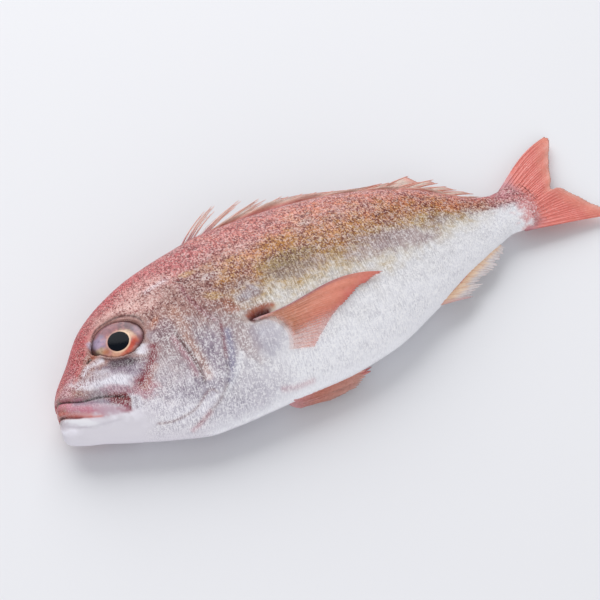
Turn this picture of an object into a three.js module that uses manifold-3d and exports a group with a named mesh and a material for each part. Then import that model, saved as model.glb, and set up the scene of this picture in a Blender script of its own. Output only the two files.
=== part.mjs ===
// A whole raw sea fish lying on its right flank: snout towards -X, back towards +Y, left flank up.
// The fish is one solid, with its fins grown from the body, and an eye in each of the two sockets.
import * as THREE from 'three';
import { mergeVertices } from 'three/addons/utils/BufferGeometryUtils.js';
import Module from 'manifold-3d';

const wasm = await Module();
wasm.setup();

// Lengths are millimetres. The fish's own coordinates are x along it from the snout, y towards its
// back and z up from the surface that it lies on.
const standardLength = 280;      // from the snout to the root of the tail fin
const flankLean = 5;             // degrees, how far the back lies higher than the belly
const flankPower = 1.12;         // below 1 a boxy section, above 1 a pinched one
const backFullness = 0.08;       // how much thicker the section is near the back than near the belly
const bodyRings = 44;
const bodySides = 30;
const innerStart = 6;            // first ring of the smaller bodies that end the grooves and slits

// Distance from the snout, height of the back and of the belly, half thickness, height of the
// middle plane above the surface.
const stations = [
  { at: 0, back: -8.5, belly: -8.5, half: 0, middle: 16.5 },       // snout tip
  { at: 0.8, back: -1.5, belly: -20.5, half: 6, middle: 16.2 },    // front of the lips
  { at: 3, back: 4.2, belly: -24.5, half: 8.6, middle: 16.4 },     // chin
  { at: 14, back: 15, belly: -30, half: 11.2, middle: 17.3 },      // jaw
  { at: 30, back: 33.6, belly: -37.5, half: 14.3, middle: 18 },    // nostrils
  { at: 45, back: 42.5, belly: -44.2, half: 16.8, middle: 18.5 },  // eyes
  { at: 66, back: 50.3, belly: -51.3, half: 19.5, middle: 19 },    // cheeks
  { at: 90, back: 54.6, belly: -52.7, half: 21.6, middle: 19.8 },  // gill covers
  { at: 110, back: 56.6, belly: -53, half: 22.7, middle: 20.4 },   // first dorsal spine
  { at: 135, back: 55.6, belly: -53.5, half: 23, middle: 20.6 },   // thickest part
  { at: 165, back: 52.6, belly: -50, half: 22, middle: 20 },
  { at: 198, back: 46.6, belly: -38.5, half: 18, middle: 18 },     // vent
  { at: 228, back: 36, belly: -24.8, half: 12.8, middle: 15.5 },   // anal fin
  { at: 256, back: 18.8, belly: -14, half: 7.2, middle: 12.5 },
  { at: 266, back: 16.3, belly: -11, half: 5.6, middle: 11.5 },    // narrowest part
  { at: 280, back: 18.5, belly: -12.4, half: 3.4, middle: 10.5 },  // root of the tail fin
];

// The eyes: where on a flank, the ball's radius, its depth as a part of that, how far it stands out,
// the gap around it and the stretch of flank that it stands square to.
const eye = { at: 41.5, height: 8.5, radius: 11.5, flatness: 0.62, proud: 2.2, gap: 0.3, span: 8 };

// Lines on the head as [x, y], with the width and depth of the groove that each one is.
const mouth = { line: [[-3, -8.2], [1.7, -12.2], [9, -17.2], [19.5, -22.8]], width: 1.8 };
const lipFold = { line: [[0.4, -2.5], [12, -10.5], [20, -13], [33, -20]], width: 1.4, depth: 1.2 };
const lipEnd = { line: [[33, -19.5], [32, -24], [28.5, -26.5]], width: 1.4, depth: 1.2 };
const cheekRidge = {
  line: [[67, 3], [67, -8], [68.5, -20], [68.5, -29], [66, -35.5], [60, -39], [50, -40]],
  width: 1.4,
  depth: 1.2,
};
const gillSlit = {
  line: [[82, 25], [81.5, 9.5], [85, -2.7], [89.5, -9.5], [86.5, -16], [83, -23], [81, -29],
    [78.5, -35.5], [72, -41], [62, -44.6]],
  width: 1.8,
  depth: 3,
};
const nostril = { line: [[22.5, 5.6], [24, 7.2], [25, 8.8]], width: 1.6 };
const lineEnd = 0.3;             // width at a line's ends, as a part of its width midway
const wallFloor = -10;           // the walls that cut these lines stand from here
const wallHeight = 80;

// Fins. A rim is the fin's outer edge and a root the line where it grows, as [x, y, z].
const finClearance = 0.2;        // least height of a fin's faces, so that only the flank bears
const rayDepth = 0.28;           // how much thinner a fin is between its rays
const tail = {
  root: [[272, 17, 11.8], [276, 3, 10.6], [272, -11, 9.6]],
  rim: [[326.5, 46.2, 5], [328, 43, 5], [322, 35, 6], [314, 24, 7], [308, 14, 8.2], [303.4, 7.6, 9],
    [309, 4, 8], [315, -4.5, 6.2], [321, -14, 5], [327, -22.6, 4]],
  rays: 17,
  thick: 4.2,
  edge: 0.9,
  bow: 1.6,
};
// Dorsal membrane: distance from the snout and height above the back.
const dorsalMembrane = [
  [96, 0], [112, 3], [150, 4.6], [200, 3.6], [231, 6.4], [243, 8.4], [250, 6], [260, 0.6],
];
const membraneSteps = 24;
const dorsalThick = 1.8;
const membraneDepth = 2.5;       // how far the membrane and the spines are sunk in the back
const spineDepth = 2;
const spineSway = 0.5;           // spines lie to the left and to the right of the middle in turn
// Dorsal spines and rays, folded back: where each is rooted, where its tip is, how high the tip stands.
const dorsalSpines = [
  [99, 128, 17.6], [107, 142, 14.4], [116, 151.5, 6.6], [127, 163, 5.6], [139, 174, 5],
  [150, 182.5, 5.8], [161, 191, 4.6], [172, 200, 4.4], [184, 209, 4.8], [195, 219, 5.8],
  [206, 231, 8.2], [216, 243, 10], [226, 249, 7.4], [237, 258, 3.4],
];
const spineRadius = 1;
const spineSides = 5;
const anal = {
  root: [[198, -37, 15.6], [215, -30.5, 14.4], [234, -21, 13.2], [254, -13, 11.4]],
  rim: [[225.6, -36, 8], [231.5, -32.5, 7.4], [240, -28, 7.6], [246, -24.6, 8], [254.5, -16.8, 8.6]],
  rays: 8,
  thick: 2.2,
  edge: 0.9,
  bow: 0,
};
// The pectoral fin is given on the flank, as [x, y, distance off the flank].
const pectoral = {
  root: [[105, -16, -0.6], [112, -20.2, -0.5], [115.6, -26, -0.5], [115.8, -32, -0.5], [113, -36.4, -0.5]],
  rim: [[175, -17.6, 3.4], [168, -21.5, 3], [156, -27.5, 2.7], [147, -31.5, 2.4], [137, -35, 2],
    [124, -37.6, 1.4]],
  rays: 9,
  thick: 1.8,
  edge: 0.9,
  bow: 3.6,
};
// The pelvic fin of the left side, and how much lower the right side's lies.
const pelvic = {
  root: [[102, -51, 19], [105, -52.4, 15], [109, -52.6, 12]],
  rim: [[154.5, -49.6, 13.4], [152.5, -51, 11.6], [147, -53.2, 9.6], [138, -54.4, 8.6], [127, -54.6, 8.4]],
  rays: 5,
  thick: 2.2,
  edge: 0.9,
  bow: 0,
};
const pelvicDrop = 5;

const lean = Math.tan(THREE.MathUtils.degToRad(flankLean));

// A smooth curve through one column of the stations that never overshoots them. Its key is the square
// root of the distance from the snout, which is what rounds the snout.
function through(column) {
  const keys = stations.map((station) => Math.sqrt(station.at / standardLength));
  const values = stations.map((station) => station[column]);
  const last = keys.length - 1;
  const chord = (i) => (values[i + 1] - values[i]) / (keys[i + 1] - keys[i]);
  const slope = keys.map((key, i) => {
    if (i === 0) return chord(0);
    if (i === last) return chord(last - 1);
    const before = chord(i - 1);
    const after = chord(i);
    if (before * after <= 0) return 0;
    const near = 2 * (keys[i + 1] - key) + (key - keys[i - 1]);
    const far = (keys[i + 1] - key) + 2 * (key - keys[i - 1]);
    return (near + far) / (near / before + far / after);
  });
  return (key) => {
    let i = 0;
    while (i < last - 1 && key > keys[i + 1]) i += 1;
    const span = keys[i + 1] - keys[i];
    const t = THREE.MathUtils.clamp((key - keys[i]) / span, 0, 1);
    const rest = 1 - t;
    return (1 + 2 * t) * rest * rest * values[i] + t * rest * rest * span * slope[i]
      + t * t * (3 - 2 * t) * values[i + 1] - t * t * rest * span * slope[i + 1];
  };
}

const backAt = through('back');
const bellyAt = through('belly');
const halfAt = through('half');
const middleAt = through('middle');

// A point of the body's surface. The angle runs from 0 at the back over the left flank to pi at the belly
// and on over the right flank. The inset moves the point in from the surface.
function bodyPoint(key, angle, inset = 0) {
  const centre = (backAt(key) + bellyAt(key)) / 2;
  const height = Math.max((backAt(key) - bellyAt(key)) / 2 - inset, 0);
  const half = Math.max(halfAt(key) - inset, 0);
  const bulge = half * Math.abs(Math.sin(angle)) ** flankPower * (1 + backFullness * Math.cos(angle));
  const y = centre + height * Math.cos(angle);
  const z = middleAt(key) + lean * y + Math.sign(Math.sin(angle)) * bulge;
  return new THREE.Vector3(standardLength * key * key, y, Math.max(z, inset));
}

const keyOf = (x) => Math.sqrt(x / standardLength);

// The point of a flank at x and y, moved off it. Side 1 is the left flank and -1 the right one.
function flankPoint(x, y, side = 1, off = 0) {
  const key = keyOf(x);
  const centre = (backAt(key) + bellyAt(key)) / 2;
  const reach = THREE.MathUtils.clamp((2 * (y - centre)) / (backAt(key) - bellyAt(key)), -1, 1);
  const point = bodyPoint(key, side * Math.acos(reach));
  return point.setZ(Math.max(point.z + side * off, 3 * finClearance));
}

// The height of the fish's middle plane, which the fins on the back and the belly stand in.
const middleHeight = (x, y) => middleAt(keyOf(x)) + lean * y;

// Turns a closed mesh into a solid, with its faces pointing out.
function solidOf(points, faces) {
  const normal = new THREE.Vector3();
  const share = ([a, b, c]) => points[a].dot(normal.crossVectors(points[b], points[c]));
  const volume = faces.reduce((sum, face) => sum + share(face), 0);
  const outward = volume > 0 ? faces : faces.map(([a, b, c]) => [a, c, b]);
  return new wasm.Manifold(new wasm.Mesh({
    numProp: 3,
    vertProperties: new Float32Array(points.flatMap((point) => point.toArray())),
    triVerts: new Uint32Array(outward.flat()),
  }));
}

// The same for a geometry made by three.js.
function solidFrom(geometry) {
  geometry.deleteAttribute('normal');
  geometry.deleteAttribute('uv');
  const merged = mergeVertices(geometry, 1e-4);
  const place = merged.getAttribute('position');
  const pointAt = (_, i) => new THREE.Vector3().fromBufferAttribute(place, i);
  const points = Array.from({ length: place.count }, pointAt);
  const index = Array.from(merged.index.array);
  const faces = Array.from({ length: index.length / 3 }, (_, i) => index.slice(3 * i, 3 * i + 3));
  return solidOf(points, faces.filter(([a, b, c]) => a !== b && b !== c && c !== a));
}

const centreOf = (ring) => ring.reduce((sum, point) => sum.add(point), new THREE.Vector3())
  .divideScalar(ring.length);

// Joins rings of points into a closed skin, with a fan of faces over each end.
function skin(rings, firstPole = centreOf(rings[0])) {
  const around = rings[0].length;
  const points = [...rings.flat(), firstPole, centreOf(rings.at(-1))];
  const first = points.length - 2;
  const faces = [];
  for (let side = 0; side < around; side += 1) {
    const next = (side + 1) % around;
    faces.push([first, next, side]);
    for (let ring = 0; ring < rings.length - 1; ring += 1) {
      const low = ring * around;
      const high = low + around;
      faces.push([low + side, low + next, high + next], [low + side, high + next, high + side]);
    }
    const low = (rings.length - 1) * around;
    faces.push([low + side, low + next, first + 1]);
  }
  return solidOf(points, faces);
}

function body(inset = 0) {
  const ringAt = (i) => Array.from({ length: bodySides }, (_, side) => (
    bodyPoint(i / bodyRings, (2 * Math.PI * side) / bodySides, inset)));
  const start = inset > 0 ? innerStart : 1;
  const rings = Array.from({ length: bodyRings - start + 1 }, (_, i) => ringAt(i + start));
  return inset > 0 ? skin(rings) : skin(rings, bodyPoint(0, 0));
}

// A wall that follows a line on the head, straight up through the fish, thinning to its ends.
function wall({ line, width }) {
  const curve = new THREE.SplineCurve(line.map(([x, y]) => new THREE.Vector2(x, y)));
  const steps = 2 * line.length;
  const edge = (side) => Array.from({ length: steps + 1 }, (_, i) => {
    const along = curve.getTangent(i / steps);
    const fullness = THREE.MathUtils.lerp(lineEnd, 1, Math.sin((Math.PI * i) / steps));
    const reach = side * (width / 2) * fullness;
    return curve.getPoint(i / steps).add(new THREE.Vector2(-along.y, along.x).multiplyScalar(reach));
  });
  const outline = new THREE.Shape([...edge(1), ...edge(-1).reverse()]);
  const geometry = new THREE.ExtrudeGeometry(outline, { depth: wallHeight, bevelEnabled: false });
  return solidFrom(geometry.translate(0, 0, wallFloor));
}

// A thin plate between a root and a rim, with a low ridge for each ray. Across goes from the leading
// edge to the trailing one, and out from the root to the rim.
function finPlate({ root, rim, rays, thick, edge, bow }, placed, steps = 4) {
  const curveOf = (line) => new THREE.CatmullRomCurve3(line.map((point) => new THREE.Vector3(...point)));
  const rootCurve = curveOf(root);
  const rimCurve = curveOf(rim);
  const columns = 2 * rays;
  const middle = (across, out) => {
    const point = rootCurve.getPoint(across).lerp(rimCurve.getPoint(across), out);
    point.y += bow * Math.sin(Math.PI * out) * (1 - across) ** 3;
    return placed(point);
  };
  const small = 0.01;
  const within = (value) => THREE.MathUtils.clamp(value, 0, 1);
  const facePoint = (across, out, side) => {
    const acrossWay = middle(within(across + small), out).sub(middle(within(across - small), out));
    const outWay = middle(across, within(out + small)).sub(middle(across, within(out - small)));
    const ridge = 1 - (rayDepth / 2) * (1 - Math.cos(2 * Math.PI * rays * across));
    const half = (THREE.MathUtils.lerp(thick, edge, Math.sqrt(out)) / 2) * ridge;
    const point = middle(across, out).addScaledVector(acrossWay.cross(outWay).normalize(), side * half);
    return point.setZ(Math.max(point.z, finClearance));
  };
  const face = (side) => Array.from({ length: columns + 1 }, (_, i) => (
    Array.from({ length: steps + 1 }, (_unused, j) => facePoint(i / columns, j / steps, side))));
  const over = face(1);
  const under = face(-1);
  return skin(over.map((column, i) => [...column, ...under[i].toReversed()]));
}

const inPlace = (point) => point;
const onFlank = (side) => ({ x, y, z }) => flankPoint(x, y, side, z);
const lowered = (drop) => (point) => point.setZ(point.z - drop);

// The membrane between the folded dorsal spines, a low crest along the back.
function dorsalCrest() {
  const start = dorsalMembrane[0][0];
  const end = dorsalMembrane.at(-1)[0];
  const profile = new THREE.SplineCurve(dorsalMembrane.map(([x, rise]) => new THREE.Vector2(x, rise)));
  const wide = dorsalThick / 2;
  const narrow = wide / 2;
  return skin(Array.from({ length: membraneSteps + 1 }, (_, i) => {
    const { x, y: rise } = profile.getPoint(i / membraneSteps);
    const back = backAt(keyOf(THREE.MathUtils.clamp(x, start, end)));
    const corner = (y, off) => new THREE.Vector3(x, y, middleHeight(x, y) + off);
    const low = back - membraneDepth;
    const high = back + rise;
    return [corner(low, wide), corner(high, narrow), corner(high, -narrow), corner(low, -wide)];
  }));
}

// A folded dorsal spine, a thin cone from inside the back to its tip.
function dorsalSpine([rootX, tipX, rise], order) {
  const rootY = backAt(keyOf(rootX)) - spineDepth;
  const tipY = backAt(keyOf(tipX)) + rise;
  const sway = order % 2 ? spineSway : -spineSway;
  const root = new THREE.Vector3(rootX, rootY, middleHeight(rootX, rootY) + sway);
  const tip = new THREE.Vector3(tipX, tipY, middleHeight(tipX, tipY) + 2 * sway);
  const length = root.distanceTo(tip);
  const cone = new THREE.ConeGeometry(spineRadius, length, spineSides);
  cone.rotateX(Math.PI / 2).translate(0, 0, length / 2);
  const way = tip.clone().sub(root).normalize();
  const turn = new THREE.Quaternion().setFromUnitVectors(new THREE.Vector3(0, 0, 1), way);
  cone.applyQuaternion(turn).translate(root.x, root.y, root.z);
  return solidFrom(cone);
}

// A flattened ball set in a flank, square to it. Grow makes the socket that it sits in.
function eyeball(side, grow = 0) {
  const { at, height, radius, flatness, proud, span } = eye;
  const centre = flankPoint(at, height, side);
  const reach = span / 2;
  const ahead = flankPoint(at + reach, height, side).sub(flankPoint(at - reach, height, side));
  const above = flankPoint(at, height + reach, side).sub(flankPoint(at, height - reach, side));
  const outward = ahead.cross(above).normalize().multiplyScalar(side);
  const depth = radius * flatness;
  const ball = new THREE.SphereGeometry(radius + grow, 16, 8);
  ball.scale(1, 1, (depth + grow) / (radius + grow));
  ball.applyQuaternion(new THREE.Quaternion().setFromUnitVectors(new THREE.Vector3(0, 0, 1), outward));
  centre.addScaledVector(outward, proud - depth);
  return solidFrom(ball.translate(centre.x, centre.y, centre.z));
}

function wholeFish() {
  const flesh = body();
  const shallow = body(lipFold.depth);
  const deep = body(gillSlit.depth);
  const creases = [lipFold, lipEnd, cheekRidge].map((crease) => wall(crease).subtract(shallow));
  const openings = [gillSlit, nostril].map((opening) => wall(opening).subtract(deep));
  const sockets = [1, -1].map((side) => eyeball(side, eye.gap));
  const cuts = [...creases, ...openings, ...sockets, wall(mouth)];
  const fins = [
    finPlate(tail, inPlace),
    finPlate(anal, inPlace, 3),
    finPlate(pectoral, onFlank(1), 5),
    finPlate(pectoral, onFlank(-1), 5),
    finPlate(pelvic, inPlace, 3),
    finPlate(pelvic, lowered(pelvicDrop), 3),
    dorsalCrest(),
    ...dorsalSpines.map(dorsalSpine),
  ];
  const cut = cuts.reduce((whole, tool) => whole.subtract(tool), flesh);
  return fins.reduce((whole, fin) => whole.add(fin), cut);
}

function meshOf(name, solid, material) {
  const { vertProperties, triVerts } = solid.getMesh();
  const geometry = new THREE.BufferGeometry();
  geometry.setAttribute('position', new THREE.BufferAttribute(vertProperties, 3));
  geometry.setIndex(new THREE.BufferAttribute(triVerts, 1));
  geometry.computeVertexNormals();
  const mesh = new THREE.Mesh(geometry, material);
  mesh.name = name;
  return mesh;
}

const skinMaterial = new THREE.MeshStandardMaterial({ color: '#c4a4a0', roughness: 0.35, metalness: 0.1 });
const eyeMaterial = new THREE.MeshStandardMaterial({ color: '#15161a', roughness: 0.08, metalness: 0 });

const group = new THREE.Group();
group.add(meshOf('fish', wholeFish(), skinMaterial));
group.add(meshOf('eye_left', eyeball(1), eyeMaterial));
group.add(meshOf('eye_right', eyeball(-1), eyeMaterial));

// The origin is on the surface that the fish lies on, under the middle of the whole.
const extent = new THREE.Box3().setFromObject(group);
const middle = extent.getCenter(new THREE.Vector3());
group.position.set(-middle.x, -middle.y, -extent.min.z);

export default group;
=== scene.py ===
import math
import bmesh
import bpy
import numpy as np
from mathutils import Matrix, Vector, noise


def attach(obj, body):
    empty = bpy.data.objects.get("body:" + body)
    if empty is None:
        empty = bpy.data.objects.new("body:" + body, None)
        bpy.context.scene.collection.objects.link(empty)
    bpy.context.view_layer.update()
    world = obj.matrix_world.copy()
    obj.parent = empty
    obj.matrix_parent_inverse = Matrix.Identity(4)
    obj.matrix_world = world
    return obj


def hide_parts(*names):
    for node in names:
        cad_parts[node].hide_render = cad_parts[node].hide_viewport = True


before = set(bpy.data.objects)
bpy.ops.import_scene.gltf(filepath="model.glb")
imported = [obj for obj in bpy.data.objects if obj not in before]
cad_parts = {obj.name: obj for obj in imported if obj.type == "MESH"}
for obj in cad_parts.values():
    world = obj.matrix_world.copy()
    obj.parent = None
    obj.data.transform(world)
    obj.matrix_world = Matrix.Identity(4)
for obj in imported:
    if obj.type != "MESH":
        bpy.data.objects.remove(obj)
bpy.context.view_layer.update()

print("frame loaded")

# Lengths are millimetres in the fish's own coordinates: x from the snout, y towards the back, z up
# from the surface. The frame's origin is under the middle of the whole fish.
millimetre = 0.001
frameMiddle = np.array([163.985, 9.301, 0.0])
leftSide, rightSide = 1, -1

fish = {
    "length": 280.0,       # snout to the root of the tail fin
    "lean": 5.0,           # degrees that the back lies higher than the belly
    "power": 1.12,         # how pinched the section is
    "fullness": 0.08,      # how much thicker it is near the back
    "stations": [          # from the snout, back, belly, half thickness, middle plane
        (0, -8.5, -8.5, 0, 16.5),
        (0.8, -1.5, -20.5, 6, 16.2),
        (3, 3.6, -24.5, 8.6, 16.4),
        (14, 16.2, -30, 11.2, 17.3),
        (30, 33.6, -37.5, 14.3, 18),
        (45, 42.5, -44.2, 16.8, 18.5),
        (66, 50.3, -51.3, 19.5, 19),
        (90, 54.6, -52.7, 21.6, 19.8),
        (110, 56.6, -53, 22.7, 20.4),
        (135, 55.6, -53.5, 23, 20.6),
        (165, 52.6, -50, 22, 20),
        (198, 46.6, -38.5, 18, 18),
        (228, 36, -24.8, 12.8, 15.5),
        (256, 18.8, -14, 7.2, 12.5),
        (266, 16.3, -11, 5.6, 11.5),
        (280, 18.5, -12.4, 3.4, 10.5),
        (285, 20, -13, 0.9, 10.1),
    ],
}


def inFrame(points):
    return (np.asarray(points, float) - frameMiddle) * millimetre


def smooth(low, high, value):
    part = np.clip((value - low) / (high - low), 0, 1)
    return part * part * (3 - 2 * part)


def throughPoints(keys, values):
    # a smooth curve through the stations that never overshoots them
    keys, values = np.asarray(keys, float), np.asarray(values, float)
    span = np.diff(keys)
    chord = np.diff(values) / span
    slope = np.zeros_like(values)
    slope[0], slope[-1] = chord[0], chord[-1]
    for i in range(1, len(values) - 1):
        if chord[i - 1] * chord[i] > 0:
            near, far = 2 * span[i] + span[i - 1], span[i] + 2 * span[i - 1]
            slope[i] = (near + far) / (near / chord[i - 1] + far / chord[i])

    def curve(key):
        key = np.asarray(key, float)
        i = np.clip(np.searchsorted(keys, key) - 1, 0, len(span) - 1)
        t = (key - keys[i]) / span[i]
        rest = 1 - t
        ends = (1 + 2 * t) * rest**2 * values[i] + t * t * (3 - 2 * t) * values[i + 1]
        return ends + t * rest * span[i] * (rest * slope[i] - t * slope[i + 1])

    return curve


stationKeys = [math.sqrt(row[0] / fish["length"]) for row in fish["stations"]]
lastKey = stationKeys[-1]
backAt, bellyAt, halfAt, middleAt = (
    throughPoints(stationKeys, [row[column] for row in fish["stations"]]) for column in (1, 2, 3, 4)
)
leanSlope = math.tan(math.radians(fish["lean"]))


def bodyPoint(key, angle):
    # angle 0 is the back, pi the belly, and the left flank lies between them
    centre = (backAt(key) + bellyAt(key)) / 2
    height = (backAt(key) - bellyAt(key)) / 2
    sine = np.sin(angle)
    bulge = halfAt(key) * np.abs(sine) ** fish["power"] * (1 + fish["fullness"] * np.cos(angle))
    y = centre + height * np.cos(angle)
    z = middleAt(key) + leanSlope * y + np.sign(sine) * bulge
    return np.stack([fish["length"] * key * key, y, np.maximum(z, 0)], -1)


def keyAt(x):
    return np.sqrt(np.clip(np.asarray(x, float), 0, None) / fish["length"])


def flankPoint(x, y, side=leftSide, lift=0.0):
    # the point of a flank over x and y, moved off it
    key = keyAt(x)
    centre = (backAt(key) + bellyAt(key)) / 2
    reach = np.clip(2 * (y - centre) / np.maximum(backAt(key) - bellyAt(key), 1e-6), -1, 1)
    point = bodyPoint(key, side * np.arccos(reach))
    point[..., 2] = np.maximum(point[..., 2] + side * lift, 0.3 if side < 0 else 0)
    return point


def softLine(points, steps=8):
    # a smooth line through given points, of any number of coordinates
    points = np.asarray(points, float)
    padded = np.vstack([2 * points[0] - points[1], points, 2 * points[-1] - points[-2]])
    line = []
    for i in range(1, len(padded) - 2):
        a, b, c, d = padded[i - 1:i + 3]
        for t in np.arange(steps) / steps:
            line.append(0.5 * (2 * b + (c - a) * t + (2 * a - 5 * b + 4 * c - d) * t**2
                               + (3 * b - a - 3 * c + d) * t**3))
    line.append(points[-1])
    return np.array(line)


def alongLine(points, line):
    # for each point: its distance from a line drawn on the left flank, how far along the line it is
    # (0 to 1), and which side it is on (1 is left of the line's direction)
    drawn = softLine(line)
    drawn = flankPoint(drawn[:, 0], drawn[:, 1])
    lengths = np.linalg.norm(np.diff(drawn, axis=0), axis=1)
    before = np.concatenate([[0], np.cumsum(lengths)])
    near = np.full(len(points), 1e9)
    part, side = np.zeros(len(points)), np.ones(len(points))
    for i, length in enumerate(lengths):
        start, way = drawn[i], drawn[i + 1] - drawn[i]
        off = points - start
        t = np.clip(off @ way / max(length**2, 1e-9), 0, 1)
        distance = np.linalg.norm(off - t[:, None] * way, axis=1)
        closer = distance < near
        near[closer] = distance[closer]
        part[closer] = (before[i] + t[closer] * length) / before[-1]
        side[closer] = np.sign(way[0] * off[closer, 1] - way[1] * off[closer, 0])
    return near, part, side


def ellipse(points, centre, radii, turn=0.0):
    # 0 in the middle of an ellipse on the flank and 1 on its outline
    c, s = math.cos(math.radians(turn)), math.sin(math.radians(turn))
    x, y = points[:, 0] - centre[0], points[:, 1] - centre[1]
    return np.hypot((c * x + s * y) / radii[0], (c * y - s * x) / radii[1])


def cloud(points, size, seed=0, octaves=3):
    # soft noise from -1 to 1 with features of about the given size
    shift = Vector((7.3, 1.9, 4.7)) * (seed + 1)
    return np.array([noise.fractal(Vector(p) / size + shift, 1.0, 2.0, octaves) for p in points])


def colourOf(red, green, blue):
    # a colour given on a 0 to 255 scale, as the shaders want it
    return np.array([((c / 255 + 0.055) / 1.055) ** 2.4 if c > 10 else c / 3295 for c in (red, green, blue)])


# Shader maths


class Value:
    # a number socket that plain arithmetic works on

    def __init__(self, finish, socket):
        self.finish, self.socket = finish, socket

    def maths(self, operation, first, second=0.0):
        made = self.finish.node("ShaderNodeMath", {"operation": operation}, {0: first, 1: second})
        return Value(self.finish, made.outputs[0])

    def __add__(self, other):
        return self.maths("ADD", self, other)

    def __radd__(self, other):
        return self.maths("ADD", other, self)

    def __sub__(self, other):
        return self.maths("SUBTRACT", self, other)

    def __rsub__(self, other):
        return self.maths("SUBTRACT", other, self)

    def __mul__(self, other):
        return self.maths("MULTIPLY", self, other)

    def __rmul__(self, other):
        return self.maths("MULTIPLY", other, self)

    def __truediv__(self, other):
        return self.maths("DIVIDE", self, other)

    def __rtruediv__(self, other):
        return self.maths("DIVIDE", other, self)

    def atLeast(self, other):
        return self.maths("MAXIMUM", self, other)

    def atMost(self, other):
        return self.maths("MINIMUM", self, other)

    def part(self):
        return self.maths("FRACT", self)

    def whole(self):
        return self.maths("FLOOR", self)

    def size(self):
        return self.maths("ABSOLUTE", self)

    def above(self, other):
        return self.maths("GREATER_THAN", self, other)

    def between(self, low, high):
        # 0 at low, 1 at high, smooth in between
        settings = {"interpolation_type": "SMOOTHSTEP"}
        made = self.finish.node("ShaderNodeMapRange", settings, {0: self, 1: low, 2: high})
        return Value(self.finish, made.outputs[0])


class Finish:
    # a material and its nodes

    def __init__(self, name):
        self.material = bpy.data.materials.new(name)
        self.material.use_nodes = True
        self.tree = self.material.node_tree
        self.tree.nodes.clear()

    def node(self, kind, settings=None, inputs=None):
        made = self.tree.nodes.new(kind)
        for key, value in (settings or {}).items():
            if key == "stops":
                while len(made.color_ramp.elements) < len(value):
                    made.color_ramp.elements.new(0.5)
                for element, (place, colour) in zip(made.color_ramp.elements, value):
                    element.position, element.color = place, (*colour, 1)
            else:
                setattr(made, key, value)
        for key, value in (inputs or {}).items():
            if isinstance(value, Value):
                value = value.socket
            if isinstance(value, bpy.types.NodeSocket):
                self.tree.links.new(value, made.inputs[key])
            else:
                made.inputs[key].default_value = value
        return made

    def place(self):
        # object coordinates in millimetres
        coordinates = self.node("ShaderNodeTexCoord").outputs["Object"]
        scaled = self.node("ShaderNodeVectorMath", {"operation": "SCALE"}, {0: coordinates, "Scale": 1000.0})
        return scaled.outputs[0]

    def layer(self, name):
        # two numbers of a UV map
        uv = self.node("ShaderNodeUVMap", {"uv_map": name}).outputs[0]
        parts = self.node("ShaderNodeSeparateXYZ", inputs={0: uv})
        return Value(self, parts.outputs[0]), Value(self, parts.outputs[1])

    def painted(self, name):
        return self.node("ShaderNodeAttribute", {"attribute_name": name})

    def amount(self, name):
        return Value(self, self.painted(name).outputs["Fac"])

    def grain(self, place, size, detail=2.0, roughness=0.5):
        made = self.node("ShaderNodeTexNoise", {}, {
            "Vector": place, "Scale": 1 / size, "Detail": detail, "Roughness": roughness})
        return Value(self, made.outputs["Fac"])

    def mix(self, factor, first, second, blend="MIX"):
        first, second = ((*c, 1.0) if isinstance(c, (tuple, np.ndarray)) else c for c in (first, second))
        made = self.node("ShaderNodeMix", {"data_type": "RGBA", "blend_type": blend},
                         {0: factor, 6: first, 7: second})
        return made.outputs[2]

    def bump(self, height, strength, distance, normal=None):
        inputs = {"Height": height, "Strength": strength, "Distance": distance}
        if normal is not None:
            inputs["Normal"] = normal
        return self.node("ShaderNodeBump", {}, inputs).outputs[0]

    def close(self, shader):
        output = self.node("ShaderNodeOutputMaterial")
        self.tree.links.new(shader, output.inputs["Surface"])
        return self.material


# The skin

skin = {
    "rings": 400,
    "columns": 236,
    "leftShare": 0.68,          # share of the columns on the flank that lies up
    "tailBulge": 8.5,           # how far the scaled skin runs out over the middle of the tail fin
    "jawBulge": 2.4,            # how far the lower jaw stands forward
    "jaw": (0, -17.5), "jawRadii": (6, 6.5),
    "scaleLength": 3.4,         # of the part of a scale that shows, at the thickest place
    "scaleSizes": [(0, 0.55), (60, 0.75), (110, 1), (165, 1), (230, 0.75), (286, 0.5)],    # by x
    "scaleRows": 52,            # half rows round each flank
    "scaleCurve": 1.4,          # how round the rear edge of a scale is
    "scaleFall": 2.4,           # how much lower its sides are than its middle
    "scaleRelief": 0.24,
}

# Two lines on the flank that several things follow, as points [x, y].
lipLine = [(0.3, -1.6), (6, -6.4), (12.2, -10.2), (20.3, -12.9), (27, -16.2), (33.1, -20)]
gillLine = [(81.6, 23.8), (81, 18), (81.8, 10), (84.8, -0.9), (89.2, -8.9), (86.6, -15.5), (84, -22.7),
    (82.4, -28.3), (79.5, -34.9), (72.8, -40.8), (62.4, -44.8), (54.1, -46.3)]

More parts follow.
